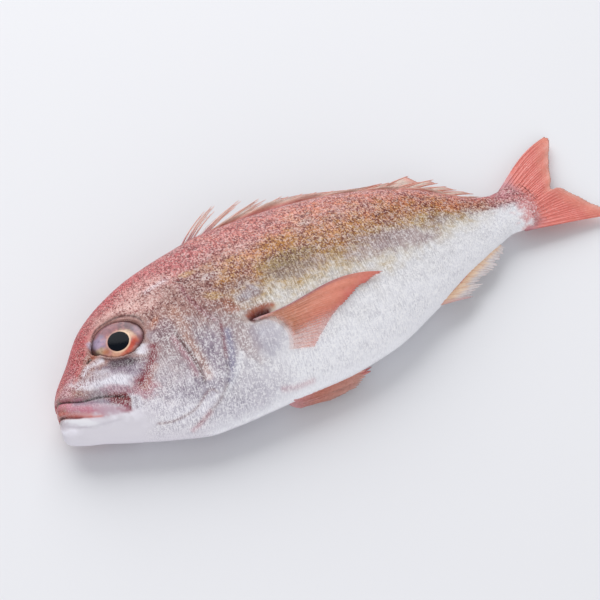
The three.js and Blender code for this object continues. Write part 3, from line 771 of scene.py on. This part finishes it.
def skinFinish():
    f = Finish("wetSkin")
    place = f.place()
    base = f.painted("paint").outputs["Color"]
    scaled, specks, glints = f.amount("scaled"), f.amount("specks"), f.amount("glints")
    u, v = f.layer("scales")

    def shingle(shift):
        across = v / 2 + shift
        row = (across + 0.5).whole()
        off = across - row
        rear = u + shift - skin["scaleCurve"] * off * off
        return rear.part() - skin["scaleFall"] * off * off, rear.whole() + shift, row + shift

    (lower, lowerColumn, lowerRow), (upper, upperColumn, upperRow) = shingle(0.0), shingle(0.5)
    over = upper.above(lower)
    cell = lower.atLeast(upper)
    column = lowerColumn + over * (upperColumn - lowerColumn)
    row = lowerRow + over * (upperRow - lowerRow)
    spot = f.node("ShaderNodeCombineXYZ", {}, {0: column, 1: row}).outputs[0]
    dice = f.node("ShaderNodeTexWhiteNoise", {"noise_dimensions": "2D"}, {"Vector": spot})
    chance = Value(f, dice.outputs[0])
    fine = f.grain(place, 0.8, 1.5, 0.55)
    coarse, patchy = f.grain(place, 2.2, 2, 0.6), f.grain(place, 7, 2, 0.6)
    silvery = f.amount("silvery")
    hairs = f.node("ShaderNodeCombineXYZ", {}, {0: u * 5 + v * 0.5, 1: v * 0.6}).outputs[0]
    hair = f.grain(hairs, 1.0, 2, 0.6)
    woven = 0.35 + 0.65 * silvery

    def crumbs(scale):
        # a chance of a painted highlight and of a dark speck for each small grain of skin
        cells = f.node("ShaderNodeTexVoronoi", {}, {"Vector": place, "Scale": scale})
        tone = f.node("ShaderNodeSeparateColor", {}, {0: cells.outputs["Color"]})
        return Value(f, tone.outputs[0]), Value(f, tone.outputs[1])

    (highlightChance, shade), (headHighlightChance, headShade) = crumbs(wetSkin["grains"]), crumbs(wetSkin["headGrains"])
    darkFrom, highlightFrom = wetSkin["darkFrom"], wetSkin["highlightFrom"]
    darkCrumb = shade.above(darkFrom) * scaled + headShade.above(darkFrom) * (1 - scaled)
    highlightCrumb = highlightChance.above(highlightFrom) * scaled + headHighlightChance.above(highlightFrom) * (1 - scaled)
    # painted shade just behind the rear edge of each scale, where the scale before overlaps it
    scaleEdgeShade = (1 - cell.between(0.02, 0.2)) * scaled
    scaleEdgeShadeMask = scaleEdgeShade * chance.between(0.25, 0.8) * coarse.between(0.4, 0.62)
    dark = (fine.between(0.54, 0.62) * 0.4 + darkCrumb * (1 - 0.7 * silvery)
            + hair.between(0.46, 0.6) * woven * 1.4)
    # painted highlights: pale grains and streaks that stand in for glints off the scales
    light = highlightCrumb * 0.9 + hair.between(0.46, 0.36) * woven * 0.8
    depth = f.mix(silvery, wetSkin["backDepth"], wetSkin["flankDepth"])
    darker = f.mix(1.0, base, depth, "MULTIPLY")
    highlightTone = f.mix(wetSkin["highlightMix"], base, f.mix(silvery, wetSkin["backHighlight"], wetSkin["flankHighlight"]))
    uneven = 0.6 + 0.8 * patchy.between(0.35, 0.65)
    toned = f.mix((dark * specks * uneven).atMost(1.0), base, darker)
    toned = f.mix((light * glints).atMost(1.0), toned, highlightTone)
    toned = f.mix(scaleEdgeShadeMask * 0.45, toned, darker)
    relief = fine * 0.5 + highlightChance * 0.4 + cell * 0.5 + hair * 0.4
    normal = f.bump(relief * specks, wetSkin["bump"], 0.5 * millimetre)
    rough = 0.3 + 0.2 * fine
    tailEnd = f.amount("tailEnd") + (fine - 0.5) * 0.8 + (coarse - 0.5) * 0.8
    shader = f.node("ShaderNodeBsdfPrincipled", {}, {
        "Base Color": toned, "Roughness": rough, "Normal": normal, "Alpha": 1 - tailEnd.between(0.35, 0.95),
        "Specular IOR Level": wetSkin["specular"], "Coat Weight": wetSkin["coat"],
        "Coat Roughness": wetSkin["coatRoughness"]})
    return f.close(shader.outputs[0])


skinPiece = makeSkin()
skinPiece.data.materials.append(skinFinish())
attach(skinPiece, "root")
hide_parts("fish")


# The fins

finTints = {name: colourOf(*picked) for name, picked in {
    "coral": (235, 130, 119), "salmon": (226, 150, 130), "orange": (242, 162, 136),
    "bright": (255, 164, 138), "mauve": (176, 112, 126), "pale": (240, 190, 176), "cream": (250, 232, 216),
    "sandy": (240, 196, 160), "beige": (255, 226, 198), "white": (242, 238, 240),
    "pink": (216, 152, 158), "red": (196, 86, 92), "peach": (252, 164, 142),
    "tan": (210, 142, 112), "wine": (140, 78, 96),
}.items()}

# A fin is spread between its root and its rim. Bow and sway bend its leading edge, fray is how far its
# tips are torn back, fineness is columns to a ray, and clear is how much shows through the rim.
tail = {
    "root": [(274.5, 18, 11.2), (279, 3, 10.6), (272, -11.8, 9.8)],
    "rim": [(326.5, 46.2, 5), (328, 43, 5), (322, 35, 6), (314, 24, 7), (308, 14, 8.2), (303.4, 7.6, 9),
            (309, 4, 8), (315, -4.5, 6.2), (321, -14, 5), (327, -22.6, 4)],
    "rays": 19, "fineness": 12, "steps": 56, "thick": 3.0, "edge": 0.25, "bow": 3.2, "sway": 0.4,
    "fray": 0.02, "ripple": 0.3, "clear": 0.12,
}
anal = {
    "root": [(198, -37, 15.6), (215, -30.5, 14.4), (234, -21, 13.2), (254, -13, 11.4)],
    "rim": [(224.6, -36.6, 8), (230.5, -34, 7.4), (236, -28.6, 7.6), (246, -25.4, 8), (256.5, -16.4, 8.6)],
    "rays": 11, "fineness": 14, "steps": 40, "thick": 1.6, "edge": 0.3, "bow": 0.0, "sway": 0.0,
    "fray": 0.42, "ripple": 0.5, "clear": 0.22, "thin": 0.06,
}
pectoral = {    # x, y and height off the flank
    "root": [(103, -15.6, 0.2), (110.5, -19.4, 0.9), (114.8, -25, 1.2), (115.2, -31, 1.2),
             (112.6, -36, 0.8)],
    "rim": [(178, -19.2, 1.8), (170, -21, 1.7), (161, -22.6, 1.6), (152.5, -26, 1.5), (142, -30, 1.4),
            (133, -35, 1.3), (125, -40, 1.1)],
    "rays": 14, "fineness": 14, "steps": 60, "thick": 2, "edge": 0.35, "bow": 2.4, "sway": 1.9,
    "fray": 0.05, "ripple": 0.12, "clear": 0.12,
}
pelvic = {
    "root": [(102, -51, 19), (105, -52.4, 15), (109, -52.6, 12)],
    "rim": [(154.5, -49.6, 13.4), (152.5, -51, 11.6), (147, -53.2, 9.6), (138, -54.4, 8.6),
            (127, -54.6, 8.4)],
    "rays": 6, "fineness": 20, "steps": 50, "thick": 2, "edge": 0.4, "bow": 0.0, "sway": 0.0,
    "fray": 0.12, "ripple": 0.3, "clear": 0.4, "drop": 5.0,     # the right one lies lower
}
crest = {       # the folded skin of the dorsal fin, and how far it rises over the back
    "from": 95, "to": 246, "sweep": 34,
    "rise": [(96, 0), (112, 2.8), (128, 5.2), (142, 6.6), (156, 7.4), (176, 5.6), (200, 4),
             (222, 4.6), (243, 5), (256, 2.4), (270, 0.6), (290, 0.2)],
    "rays": 26, "fineness": 10, "steps": 26, "thick": 2.2, "edge": 0.5, "fray": 0.12, "ripple": 0.5,
    "clear": 0.35, "thin": 0.08,
}
spines = {
    # root, tip, how far the tip rises over the back, radius, and how far out the skin behind reaches
    "rows": [(96.6, 121.8, 15.8, 0.42, 0.8), (99.4, 127, 17.4, 0.45, 0.9), (101, 128.4, 17, 0.4, 0.75),
             (103.4, 126.6, 13.6, 0.35, 0.2), (106.4, 141.6, 15, 0.42, 0.85), (108, 142.6, 14.2, 0.42, 0.7),
             (110.4, 138, 11.6, 0.36, 0.25), (114, 152, 12.2, 0.5, 0.9), (116.4, 151, 11, 0.42, 0.8),
             (119, 155, 10.4, 0.42, 0.75), (123, 152, 8.6, 0.42, 0.6), (128, 164, 9.6, 0.5, 0.9),
             (134, 167, 8.4, 0.5, 0.9), (141, 175, 8, 0.6, 0.9), (150, 182.5, 7, 0.6, 0.9),
             (161, 191, 5.8, 0.6, 0.9), (172, 200, 5, 0.6, 0.9), (180, 207, 5.2, 0.7, 0.9),
             (187, 212, 6, 0.7, 0.85), (193, 218, 7.6, 0.8, 0.5), (198, 222, 8, 0.9, 0.92),
             (203, 227, 8, 0.8, 0.45), (208, 234.6, 14.6, 0.8, 0.92), (213, 238, 10.6, 0.7, 0.5),
             (217, 246, 15, 0.8, 0.9), (221, 247, 12.4, 0.7, 0.5), (226, 250, 10.4, 0.7, 0.9),
             (231, 254, 8, 0.6, 0.5), (236, 257, 6.4, 0.6, 0.9), (241, 261, 4.4, 0.5, 0.8)],
    "tip": 0.14, "bow": 1.2,
}


def spread(line, part):
    # the point of a smooth line at a part of its length
    drawn = softLine(line, 10)
    before = np.concatenate([[0], np.cumsum(np.linalg.norm(np.diff(drawn, axis=0), axis=1))])
    return np.stack([np.interp(part * before[-1], before, drawn[:, c]) for c in range(3)], -1)


def chanceOf(number):
    return (np.sin(number * 12.9898 + 4.1) * 43758.5453) % 1


def frayOf(across, fin):
    # rays end at different lengths, and the skin between them is torn back
    tip = across * fin["rays"] * 2
    nearest = np.round(tip)
    return fin["fray"] * (0.55 * (2 * np.abs(tip - nearest)) ** 2 + 0.7 * chanceOf(nearest))


def rayOf(across, out, rays):
    # 1 on the middle of a ray and 0 between rays. Each ray forks twice on its way out.
    off = np.abs((across * rays + 0.5) % 1 - 0.5)
    off = np.abs(off - 0.25 * smooth(0.2, 0.65, out))
    off = np.abs(off - 0.125 * smooth(0.5, 0.95, out))
    return np.exp(-((off / (0.13 - 0.07 * out)) ** 2))


def finPlate(bm, fin, middle, rows, columns):
    # two grids that meet round the border make one thin closed plate
    across, out = np.meshgrid(np.linspace(0, 1, columns + 1), np.linspace(0, 1, rows + 1), indexing="ij")
    centre = middle(across, out)
    facing = np.cross(np.gradient(centre, axis=0), np.gradient(centre, axis=1))
    facing /= np.maximum(np.linalg.norm(facing, axis=-1, keepdims=True), 1e-9)
    sides = np.minimum(across, 1 - across) * columns / 2
    border = np.minimum(sides, np.minimum(out, 1 - out) * rows / 2)
    half = (fin["thick"] + (fin["edge"] - fin["thick"]) * np.sqrt(out)) / 2
    ridge = 0.4 * smooth(0.02, 0.2, out)
    half = half * (1 - ridge + ridge * rayOf(across, out, fin["rays"])) * np.clip(border, 0, 1) ** 0.5
    acrossLayer = bm.verts.layers.float.get("across") or bm.verts.layers.float.new("across")
    outLayer = bm.verts.layers.float.get("out") or bm.verts.layers.float.new("out")
    for side in (1, -1):
        face = centre + side * half[..., None] * facing
        face[..., 2] = np.maximum(face[..., 2], 0.12)
        for v in bmesh.ops.create_grid(bm, x_segments=columns, y_segments=rows, size=0.5)["verts"]:
            i, j = round((v.co.x + 0.5) * columns), round((v.co.y + 0.5) * rows)
            v[acrossLayer], v[outLayer] = across[i, j], out[i, j]
            v.co = face[i, j]


def finishPlates(name, bm, colours, clear):
    bmesh.ops.remove_doubles(bm, verts=bm.verts, dist=1e-4)
    bmesh.ops.recalc_face_normals(bm, faces=bm.faces)
    piece = makeMesh(name, bm)
    mesh = piece.data
    across, out = layerValues(mesh, "across"), layerValues(mesh, "out")
    points = pointsOf(mesh)
    paintColour(mesh, "paint", np.clip(colours(across, out, points), 0, 1))
    paintNumber(mesh, "clear", clear(across, out, points))
    movePoints(mesh, inFrame(points))
    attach(piece, "root")
    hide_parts("fish")
    return piece


def finMiddle(fin, place=lambda p: p):
    def middle(across, out):
        away = out * (1 - frayOf(across, fin))
        root, rim = spread(fin["root"], across), spread(fin["rim"], across)
        point = root + (rim - root) * away[..., None]
        bend = fin["bow"] * np.sin(np.pi * away) - fin["sway"] * np.sin(2 * np.pi * away)
        point[..., 1] += bend * (1 - across) ** 3
        point[..., 2] += fin["ripple"] * np.sin(across * fin["rays"] * 2.1 + 3 * out) * out
        return place(point)
    return middle


def onFlank(side):
    return lambda p: flankPoint(p[..., 0], p[..., 1], side, p[..., 2])


def finColours(bands, edge, edgeName):
    # bands: colours from root to rim. The rim is tinted on top.
    def colours(across, out, points):
        stops = [stop for stop, _ in bands]
        warp = out + 0.08 * cloud(points, 7, 5)
        base = np.stack([np.interp(warp, stops, [finTints[n][c] for _, n in bands]) for c in range(3)], -1)
        mask = edge(across, out)[:, None]
        return base + mask * (finTints[edgeName] - base)
    return colours


def finFinish(name, fin, glow, thin=0.12):
    f = Finish(name)
    across, out = f.amount("across"), f.amount("out")
    base = f.painted("paint").outputs["Color"]
    off = ((across * fin["rays"] + 0.5).part() - 0.5).size()
    off = (off - 0.25 * out.between(0.2, 0.65)).size()
    off = (off - 0.125 * out.between(0.5, 0.95)).size()
    ray = 1 - off.between(0.02, 0.1)
    fine = f.grain(f.place(), 1.6, 3, 0.6)
    joint = ((out * 46 + 3 * across).part() - 0.5).size().between(0.36, 0.5) * ray * fine.between(0.4, 0.6)
    deep = f.mix(1.0, base, (0.78, 0.6, 0.58), "MULTIPLY")
    toned = f.mix((ray * 0.5 + fine.between(0.5, 0.7) * 0.3).atMost(1.0), base, deep)
    toned = f.mix((1 - ray) * fine.between(0.5, 0.34) * 0.15, toned, (0.95, 0.78, 0.72))
    toned = f.mix(joint * 0.14, toned, (0.95, 0.78, 0.72))
    normal = f.bump(ray * 0.7 + fine * 0.3, 0.5, 0.0004)
    clear = f.amount("clear")
    alpha = 1 - (clear * (1.15 - 0.4 * ray) * (0.6 + 0.8 * fine)).atMost(1.0)
    solid = f.node("ShaderNodeBsdfPrincipled", {}, {
        "Base Color": toned, "Roughness": 0.38, "Normal": normal, "Alpha": alpha,
        "Coat Weight": 0.15, "Coat Roughness": 0.2})
    through = f.node("ShaderNodeBsdfTranslucent", {}, {"Color": (*finTints[glow], 1)})
    both = f.node("ShaderNodeMixShader", {}, {0: thin, 1: solid.outputs[0], 2: through.outputs[0]})
    return f.close(both.outputs[0])


def makeFin(name, fin, middle, colours, clear, glow):
    bm = bmesh.new()
    finPlate(bm, fin, middle, fin["steps"], fin["rays"] * fin["fineness"])
    piece = finishPlates(name, bm, colours, clear)
    piece.data.materials.append(finFinish(name + "Finish", fin, glow, fin.get("thin", 0.12)))
    print(name, "made:", len(piece.data.vertices), "vertices")
    return piece


def tailMiddle(across, out):
    point = finMiddle(tail)(across, out)
    fold = smooth(0.56, 0.585, across) - 0.6 * smooth(0.62, 0.8, across)
    point[..., 2] += 1.3 * fold * smooth(0.1, 0.7, out)
    return point


def tailClear(across, out, points):
    return tail["clear"] * smooth(0.45, 1, out)


makeFin("tailFin", tail, tailMiddle, finColours(
    [(0, "mauve"), (0.12, "pink"), (0.3, "coral"), (0.7, "coral"), (1, "peach")],
    lambda across, out: 0.6 * smooth(0.86, 1, out) * smooth(0, 0.12, across), "pale"),
    tailClear, "coral")

makeFin("analFin", anal, finMiddle(anal), finColours(
    [(0, "salmon"), (0.08, "sandy"), (0.35, "beige"), (0.7, "white"), (1, "white")],
    lambda across, out: 0.6 * smooth(0.14, 0.02, across), "pink"),
    lambda across, out, points: anal["clear"] * (0.3 + 0.7 * out), "beige")


def pectoralClear(across, out, points):
    # the trailing part is thin skin, and the root fades into the pad under it
    trailing = smooth(0.42, 0.86, across + 0.2 * out - 0.1)
    return pectoral["clear"] + 0.88 * trailing + 0.9 * smooth(0.16, 0.02, out) * smooth(0.02, 0.2, across)


for side, where in ((leftSide, "Left"), (rightSide, "Right")):
    makeFin("pectoralFin" + where, pectoral, finMiddle(pectoral, onFlank(side)), finColours(
        [(0, "white"), (0.06, "pale"), (0.16, "tan"), (0.45, "orange"), (0.8, "bright"), (1, "coral")],
        lambda across, out: 0.8 * smooth(0.1, 0.02, across) * smooth(1, 0.5, out), "mauve"),
        pectoralClear, "orange")
    drop = 0 if side == leftSide else pelvic["drop"]
    lowered = dict(pelvic, root=[(x, y, z - drop) for x, y, z in pelvic["root"]],
                   rim=[(x, y, z - drop) for x, y, z in pelvic["rim"]])
    makeFin("pelvicFin" + where, lowered, finMiddle(lowered), finColours(
        [(0, "pink"), (0.5, "salmon"), (1, "pale")],
        lambda across, out: 0.9 * smooth(0.14, 0.04, across), "red"),
        lambda across, out, points: pelvic["clear"] * smooth(0.05, 0.2, across), "pale")

crestRise = throughPoints(*zip(*crest["rise"]))


def ridgePoint(x, rise):
    y = backAt(keyAt(x)) + rise
    return np.stack([x, y, middleAt(keyAt(x)) + leanSlope * y], -1)


def crestMiddle(across, out):
    away = out * (1 - frayOf(across, crest))
    x = crest["from"] + (crest["to"] - crest["from"]) * across + crest["sweep"] * (1 - 0.45 * across) * away
    point = ridgePoint(x, -1.6 + (1.6 + crestRise(x)) * away)
    point[..., 2] += crest["ripple"] * np.sin(across * 40) * out + 0.6 * out
    return point


def crestEdge(across, out):
    # the rim is paler where the fin's first tuft ends
    return 0.8 * smooth(0.28, 0.36, across) * smooth(0.5, 0.42, across) * smooth(0.6, 0.9, out)


makeFin("dorsalCrest", crest, crestMiddle, finColours(
    [(0, "wine"), (0.2, "mauve"), (0.45, "red"), (0.7, "salmon"), (1, "cream")],
    crestEdge, "pale"), lambda across, out, points: crest["clear"] * smooth(0.3, 1, out), "salmon")


def spineAt(order, part):
    root, tip, rise = spines["rows"][order][:3]
    start, end = ridgePoint(np.array(float(root)), -1.5), ridgePoint(np.array(float(tip)), rise)
    way = end - start
    up = np.array([-way[1], way[0], 0]) / np.linalg.norm(way[:2])
    part = np.asarray(part, float)[..., None]
    return start + way * part + up * spines["bow"] * np.sin(np.pi * part)


def makeSpines():
    bm = bmesh.new()
    outLayer = bm.verts.layers.float.new("out")
    acrossLayer = bm.verts.layers.float.new("across")
    for order in range(len(spines["rows"])):
        verts = bmesh.ops.create_grid(bm, x_segments=24, y_segments=8, size=0.5)["verts"]
        places = np.array([v.co[:2] for v in verts]) + 0.5
        part, turn = places[:, 0], places[:, 1] * 2 * np.pi
        middle = spineAt(order, part)
        way = spineAt(order, 1.0) - spineAt(order, 0.0)
        way /= np.linalg.norm(way)
        up = np.array([-way[1], way[0], 0])
        up /= np.linalg.norm(up)
        side = np.cross(way, up)
        blunt = spines["tip"] * np.minimum(1, (1 - part) * 30)
        radius = spines["rows"][order][3] * (1 - part) ** 0.8 + blunt
        around = np.cos(turn)[:, None] * up + np.sin(turn)[:, None] * side
        for v, co, p, a in zip(verts, middle + radius[:, None] * around, part, places[:, 1]):
            v.co = co
            v[outLayer], v[acrossLayer] = p, a
    bmesh.ops.remove_doubles(bm, verts=bm.verts, dist=1e-4)
    bmesh.ops.holes_fill(bm, edges=[e for e in bm.edges if e.is_boundary], sides=0)
    bmesh.ops.recalc_face_normals(bm, faces=bm.faces)
    piece = makeMesh("dorsalSpines", bm)
    mesh = piece.data
    out = layerValues(mesh, "out")
    points = pointsOf(mesh)
    base = finTints["mauve"] + smooth(0.05, 0.6, out)[:, None] * (finTints["pale"] - finTints["mauve"])
    rear = smooth(170, 200, points[:, 0])[:, None]
    base = base + 0.6 * rear * (finTints["salmon"] - base)
    paintColour(mesh, "paint", base)
    movePoints(mesh, inFrame(points))
    mesh.materials.append(spineFinish())
    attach(piece, "root")
    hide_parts("fish")


def spineFinish():
    f = Finish("spineFinish")
    fine = f.grain(f.place(), 1.2, 2, 0.6)
    base = f.painted("paint").outputs["Color"]
    deep = f.mix(1.0, base, (0.6, 0.4, 0.4), "MULTIPLY")
    toned = f.mix(fine.between(0.42, 0.66) * 0.25, base, deep)
    solid = f.node("ShaderNodeBsdfPrincipled", {}, {
        "Base Color": toned, "Roughness": 0.35, "Normal": f.bump(fine, 0.3, 0.0002)})
    through = f.node("ShaderNodeBsdfTranslucent", {}, {"Color": (*finTints["peach"], 1)})
    both = f.node("ShaderNodeMixShader", {}, {0: 0.08, 1: solid.outputs[0], 2: through.outputs[0]})
    return f.close(both.outputs[0])


makeSpines()

web = {"rays": 3, "thick": 0.5, "edge": 0.2, "clear": [(110, 0.95), (150, 0.65), (200, 0.4)]}


def makeWebs():
    bm = bmesh.new()
    for order in range(len(spines["rows"]) - 1):
        def middle(across, out):
            reach = 0.94 + (spines["rows"][order][4] - 0.94) * np.sin(np.pi * across ** 0.8)
            first, second = spineAt(order, out * reach), spineAt(order + 1, out * reach)
            point = first + (second - first) * across[..., None]
            point[..., 2] += 0.5 * np.sin(np.pi * across) * out
            return point
        finPlate(bm, web, middle, 22, 20)
    piece = finishPlates("dorsalWebs", bm, finColours(
        [(0, "pink"), (0.2, "pale"), (0.8, "cream"), (1, "peach")], lambda across, out: 0 * out, "pale"),
        lambda across, out, points: np.interp(points[:, 0], *zip(*web["clear"])) * smooth(0.05, 0.4, out))
    piece.data.materials.append(finFinish("webFinish", web, "cream", 0.08))
    print("dorsal fin made")


makeWebs()


# The eyes

eye = {
    "at": (41.6, 10.0), "radii": (14.6, 12.2), "turn": -24.0, "depth": 4.4, "proud": 1.3,
    "pupil": (41.2, 7.7), "pupilRadius": 5.5,
    # colour, x, y, half length, half width, turn, amount
    "patches": [
        ("mauveBrown", 50.5, 3, 4, 6, 20, 0.8), ("mauveBrown", 42, 17, 9, 4.4, -10, 0.75),
        ("smoke", 49.5, 13, 5.4, 4, -50, 0.8), ("mist", 52, 8.4, 2.2, 4, 10, 0.4),
        ("mauve", 37, 16.4, 8, 4, 10, 0.75),
        # the lavender patch at the eye's front is a painted reflection on the cornea, over the iris
        ("lavender", 32.6, 12.6, 4.4, 4.6, 20, 0.85), ("ivory", 31, 8.2, 4, 2.2, -30, 0.9),
        ("rust", 33.4, 6.4, 2.2, 1.4, -30, 0.7), ("peach", 38, 1.6, 6, 2.4, -14, 0.8),
        ("cream", 47.4, 8.4, 1.8, 4.6, 24, 0.85), ("ember", 45.4, 2.2, 4.4, 1.6, 36, 0.85),
        ("ember", 41.6, 0.2, 3.6, 1.2, 0, 0.6), ("ember", 48.6, 4.6, 1.4, 2.6, 10, 0.5),
    ],
}
eyeTints = {name: colourOf(*picked) for name, picked in {
    "iris": (184, 128, 122), "mauveBrown": (132, 78, 86), "smoke": (96, 76, 86), "mist": (186, 174, 192),
    "mauve": (140, 92, 104), "lavender": (166, 152, 180), "ivory": (206, 178, 148), "rust": (176, 104, 66),
    "peach": (236, 180, 150), "cream": (240, 206, 176), "ember": (206, 84, 62), "rim": (46, 24, 24),
}.items()}


def eyeFrame(side):
    # the middle of the eye, and its directions along the body, towards the back and outwards
    x, y = eye["at"]
    centre = flankPoint(np.array(x), np.array(y), side)
    ahead = flankPoint(np.array(x + 4), np.array(y), side) - flankPoint(np.array(x - 4), np.array(y), side)
    above = flankPoint(np.array(x), np.array(y + 4), side) - flankPoint(np.array(x), np.array(y - 4), side)
    outwards = np.cross(ahead, above) * side
    outwards /= np.linalg.norm(outwards)
    ahead /= np.linalg.norm(ahead)
    above = np.cross(outwards, ahead) * side
    return centre, ahead, above, outwards


def inLeftEye(x, y):
    # where a point of the left flank lies in the eye's own plane
    centre, ahead, above, _ = eyeFrame(leftSide)
    off = flankPoint(np.array(float(x)), np.array(float(y)), leftSide) - centre
    return off @ ahead, off @ above


def makeEye(side, name, node):
    centre, ahead, above, outwards = eyeFrame(side)
    bm = bmesh.new()
    bmesh.ops.create_uvsphere(bm, u_segments=120, v_segments=110, radius=1)
    ball = np.array([v.co for v in bm.verts])
    c, s = math.cos(math.radians(eye["turn"])), math.sin(math.radians(eye["turn"]))
    longWay, shortWay = ball[:, 0] * eye["radii"][0], ball[:, 1] * eye["radii"][1]
    along, across = longWay * c - shortWay * s, longWay * s + shortWay * c
    deep = ball[:, 2] * eye["depth"] - eye["depth"] + eye["proud"]
    points = centre + along[:, None] * ahead + across[:, None] * above + deep[:, None] * outwards
    for v, co in zip(bm.verts, points):
        v.co = co
    bmesh.ops.recalc_face_normals(bm, faces=bm.faces)
    piece = makeMesh(name, bm)
    mesh = piece.data
    points = pointsOf(mesh)
    off = points - centre
    place = np.stack([off @ ahead, off @ above], -1)
    pupil = np.array(inLeftEye(*eye["pupil"]))
    away = np.linalg.norm(place - pupil, axis=1)
    turn = np.arctan2(place[:, 1] - pupil[1], place[:, 0] - pupil[0])
    broken = cloud(points, 2.4, 8, 3)
    fibres = cloud(np.stack([turn * 5, away * 0.25, 0 * away], -1), 1.0, 9, 3)
    colours = np.tile(eyeTints["iris"], (len(points), 1))
    for tint, x, y, rx, ry, turned, amount in eye["patches"]:
        ring = ellipse(place, inLeftEye(x, y), (rx, ry), turned) + 0.45 * broken + 0.15 * fibres
        mask = amount * smooth(1.4, 0.4, ring)
        colours += mask[:, None] * (eyeTints[tint] - colours)
    edge = ellipse(place, (0, 0), eye["radii"], eye["turn"])
    rim = smooth(0.76, 0.92, edge + 0.05 * broken)
    colours += (0.85 * rim)[:, None] * (eyeTints["rim"] - colours)
    uneven = (1 + 0.2 * fibres + 0.25 * broken)[:, None]
    paintColour(mesh, "paint", np.clip(colours * uneven, 0, 1))
    paintNumber(mesh, "away", away / eye["pupilRadius"] + 0.012 * broken)
    paintNumber(mesh, "ring", 0.25 + 0.7 * smooth(-0.7, 0.5, np.cos(turn + 0.6)))
    movePoints(mesh, inFrame(points))
    mesh.materials.append(eyeFinish(name + "Finish"))
    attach(piece, "root")
    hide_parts(node)
    print(name, "made")


def eyeFinish(name):
    f = Finish(name)
    away = f.amount("away")
    base = f.painted("paint").outputs["Color"]
    fine = f.grain(f.place(), 0.9, 3, 0.6)
    toned = f.mix(fine.between(0.5, 0.7) * 0.35, base, f.mix(1.0, base, (0.45, 0.34, 0.36), "MULTIPLY"))
    ring = away.between(0.98, 1.03) * (1 - away.between(1.04, 1.22))
    toned = f.mix(ring * f.amount("ring"), toned, tuple(eyeTints["cream"]))
    pupil = 1 - away.between(0.97, 1.02)
    toned = f.mix(pupil, toned, (0.003, 0.005, 0.009))
    shader = f.node("ShaderNodeBsdfPrincipled", {}, {
        "Base Color": toned, "Roughness": 0.12 + 0.3 * (1 - pupil) * fine, "Specular IOR Level": 0.1,
        "Coat Weight": 0.4 * (1 - pupil), "Coat Roughness": 0.06, "Normal": f.bump(fine, 0.15, 0.0002)})
    return f.close(shader.outputs[0])


makeEye(leftSide, "eyeLeft", "eye_left")
makeEye(rightSide, "eyeRight", "eye_right")


# Camera, floor and light

camera = {
    "target": (140.22, 1.88, 15.0), "azimuth": -29.64, "elevation": 50.0, "distance": 850.0,
    "lens": 98.59, "sensor": 36,
}
stage = {
    "floorSize": 6, "floor": (0.78, 0.785, 0.815, 1), "floorRoughness": 0.7,
    "sky": (0.97, 0.975, 1.0, 1), "skyStrength": 0.46,
}


def makeCamera():
    data = bpy.data.cameras.new("camera")
    data.lens = camera["lens"]
    data.sensor_width = camera["sensor"]
    data.clip_start, data.clip_end = 0.05, 20
    piece = bpy.data.objects.new("camera", data)
    bpy.context.scene.collection.objects.link(piece)
    azimuth, elevation = math.radians(camera["azimuth"]), math.radians(camera["elevation"])
    back = Vector((math.sin(azimuth) * math.cos(elevation), -math.cos(azimuth) * math.cos(elevation),
                   math.sin(elevation)))
    piece.location = Vector(inFrame(camera["target"])) + back * camera["distance"] * millimetre
    piece.rotation_euler = (-back).to_track_quat("-Z", "Y").to_euler()
    bpy.context.scene.camera = piece


def makeFloor():
    bm = bmesh.new()
    bmesh.ops.create_grid(bm, x_segments=1, y_segments=1, size=stage["floorSize"])
    floor = makeMesh("floor", bm)
    f = Finish("paleFloor")
    shader = f.node("ShaderNodeBsdfPrincipled", {}, {
        "Base Color": stage["floor"], "Roughness": stage["floorRoughness"]})
    floor.data.materials.append(f.close(shader.outputs[0]))


lamps = {       # to the left of the camera's view, behind the fish, height, size across, power
    "window": (0.7, 2.0, 1.75, 3.4, 76),
    "fill": (-0.3, -2.2, 1.1, 1.8, 21),
}


def makeLights():
    world = bpy.data.worlds.new("studio")
    bpy.context.scene.world = world
    world.use_nodes = True
    background = world.node_tree.nodes["Background"]
    background.inputs["Color"].default_value = stage["sky"]
    background.inputs["Strength"].default_value = stage["skyStrength"]
    turn = math.radians(camera["azimuth"])
    for name, (left, behind, high, size, power) in lamps.items():
        data = bpy.data.lights.new(name, "AREA")
        data.shape = "DISK"
        data.size = size
        data.energy = power
        lamp = bpy.data.objects.new(name, data)
        place = Vector((-left * math.cos(turn) - behind * math.sin(turn),
                        -left * math.sin(turn) + behind * math.cos(turn), high))
        lamp.location = place
        lamp.rotation_euler = (-place).to_track_quat("-Z", "Y").to_euler()
        bpy.context.scene.collection.objects.link(lamp)


makeCamera()
makeFloor()
makeLights()
bpy.context.scene.view_settings.view_transform = "Standard"
print("stage set")
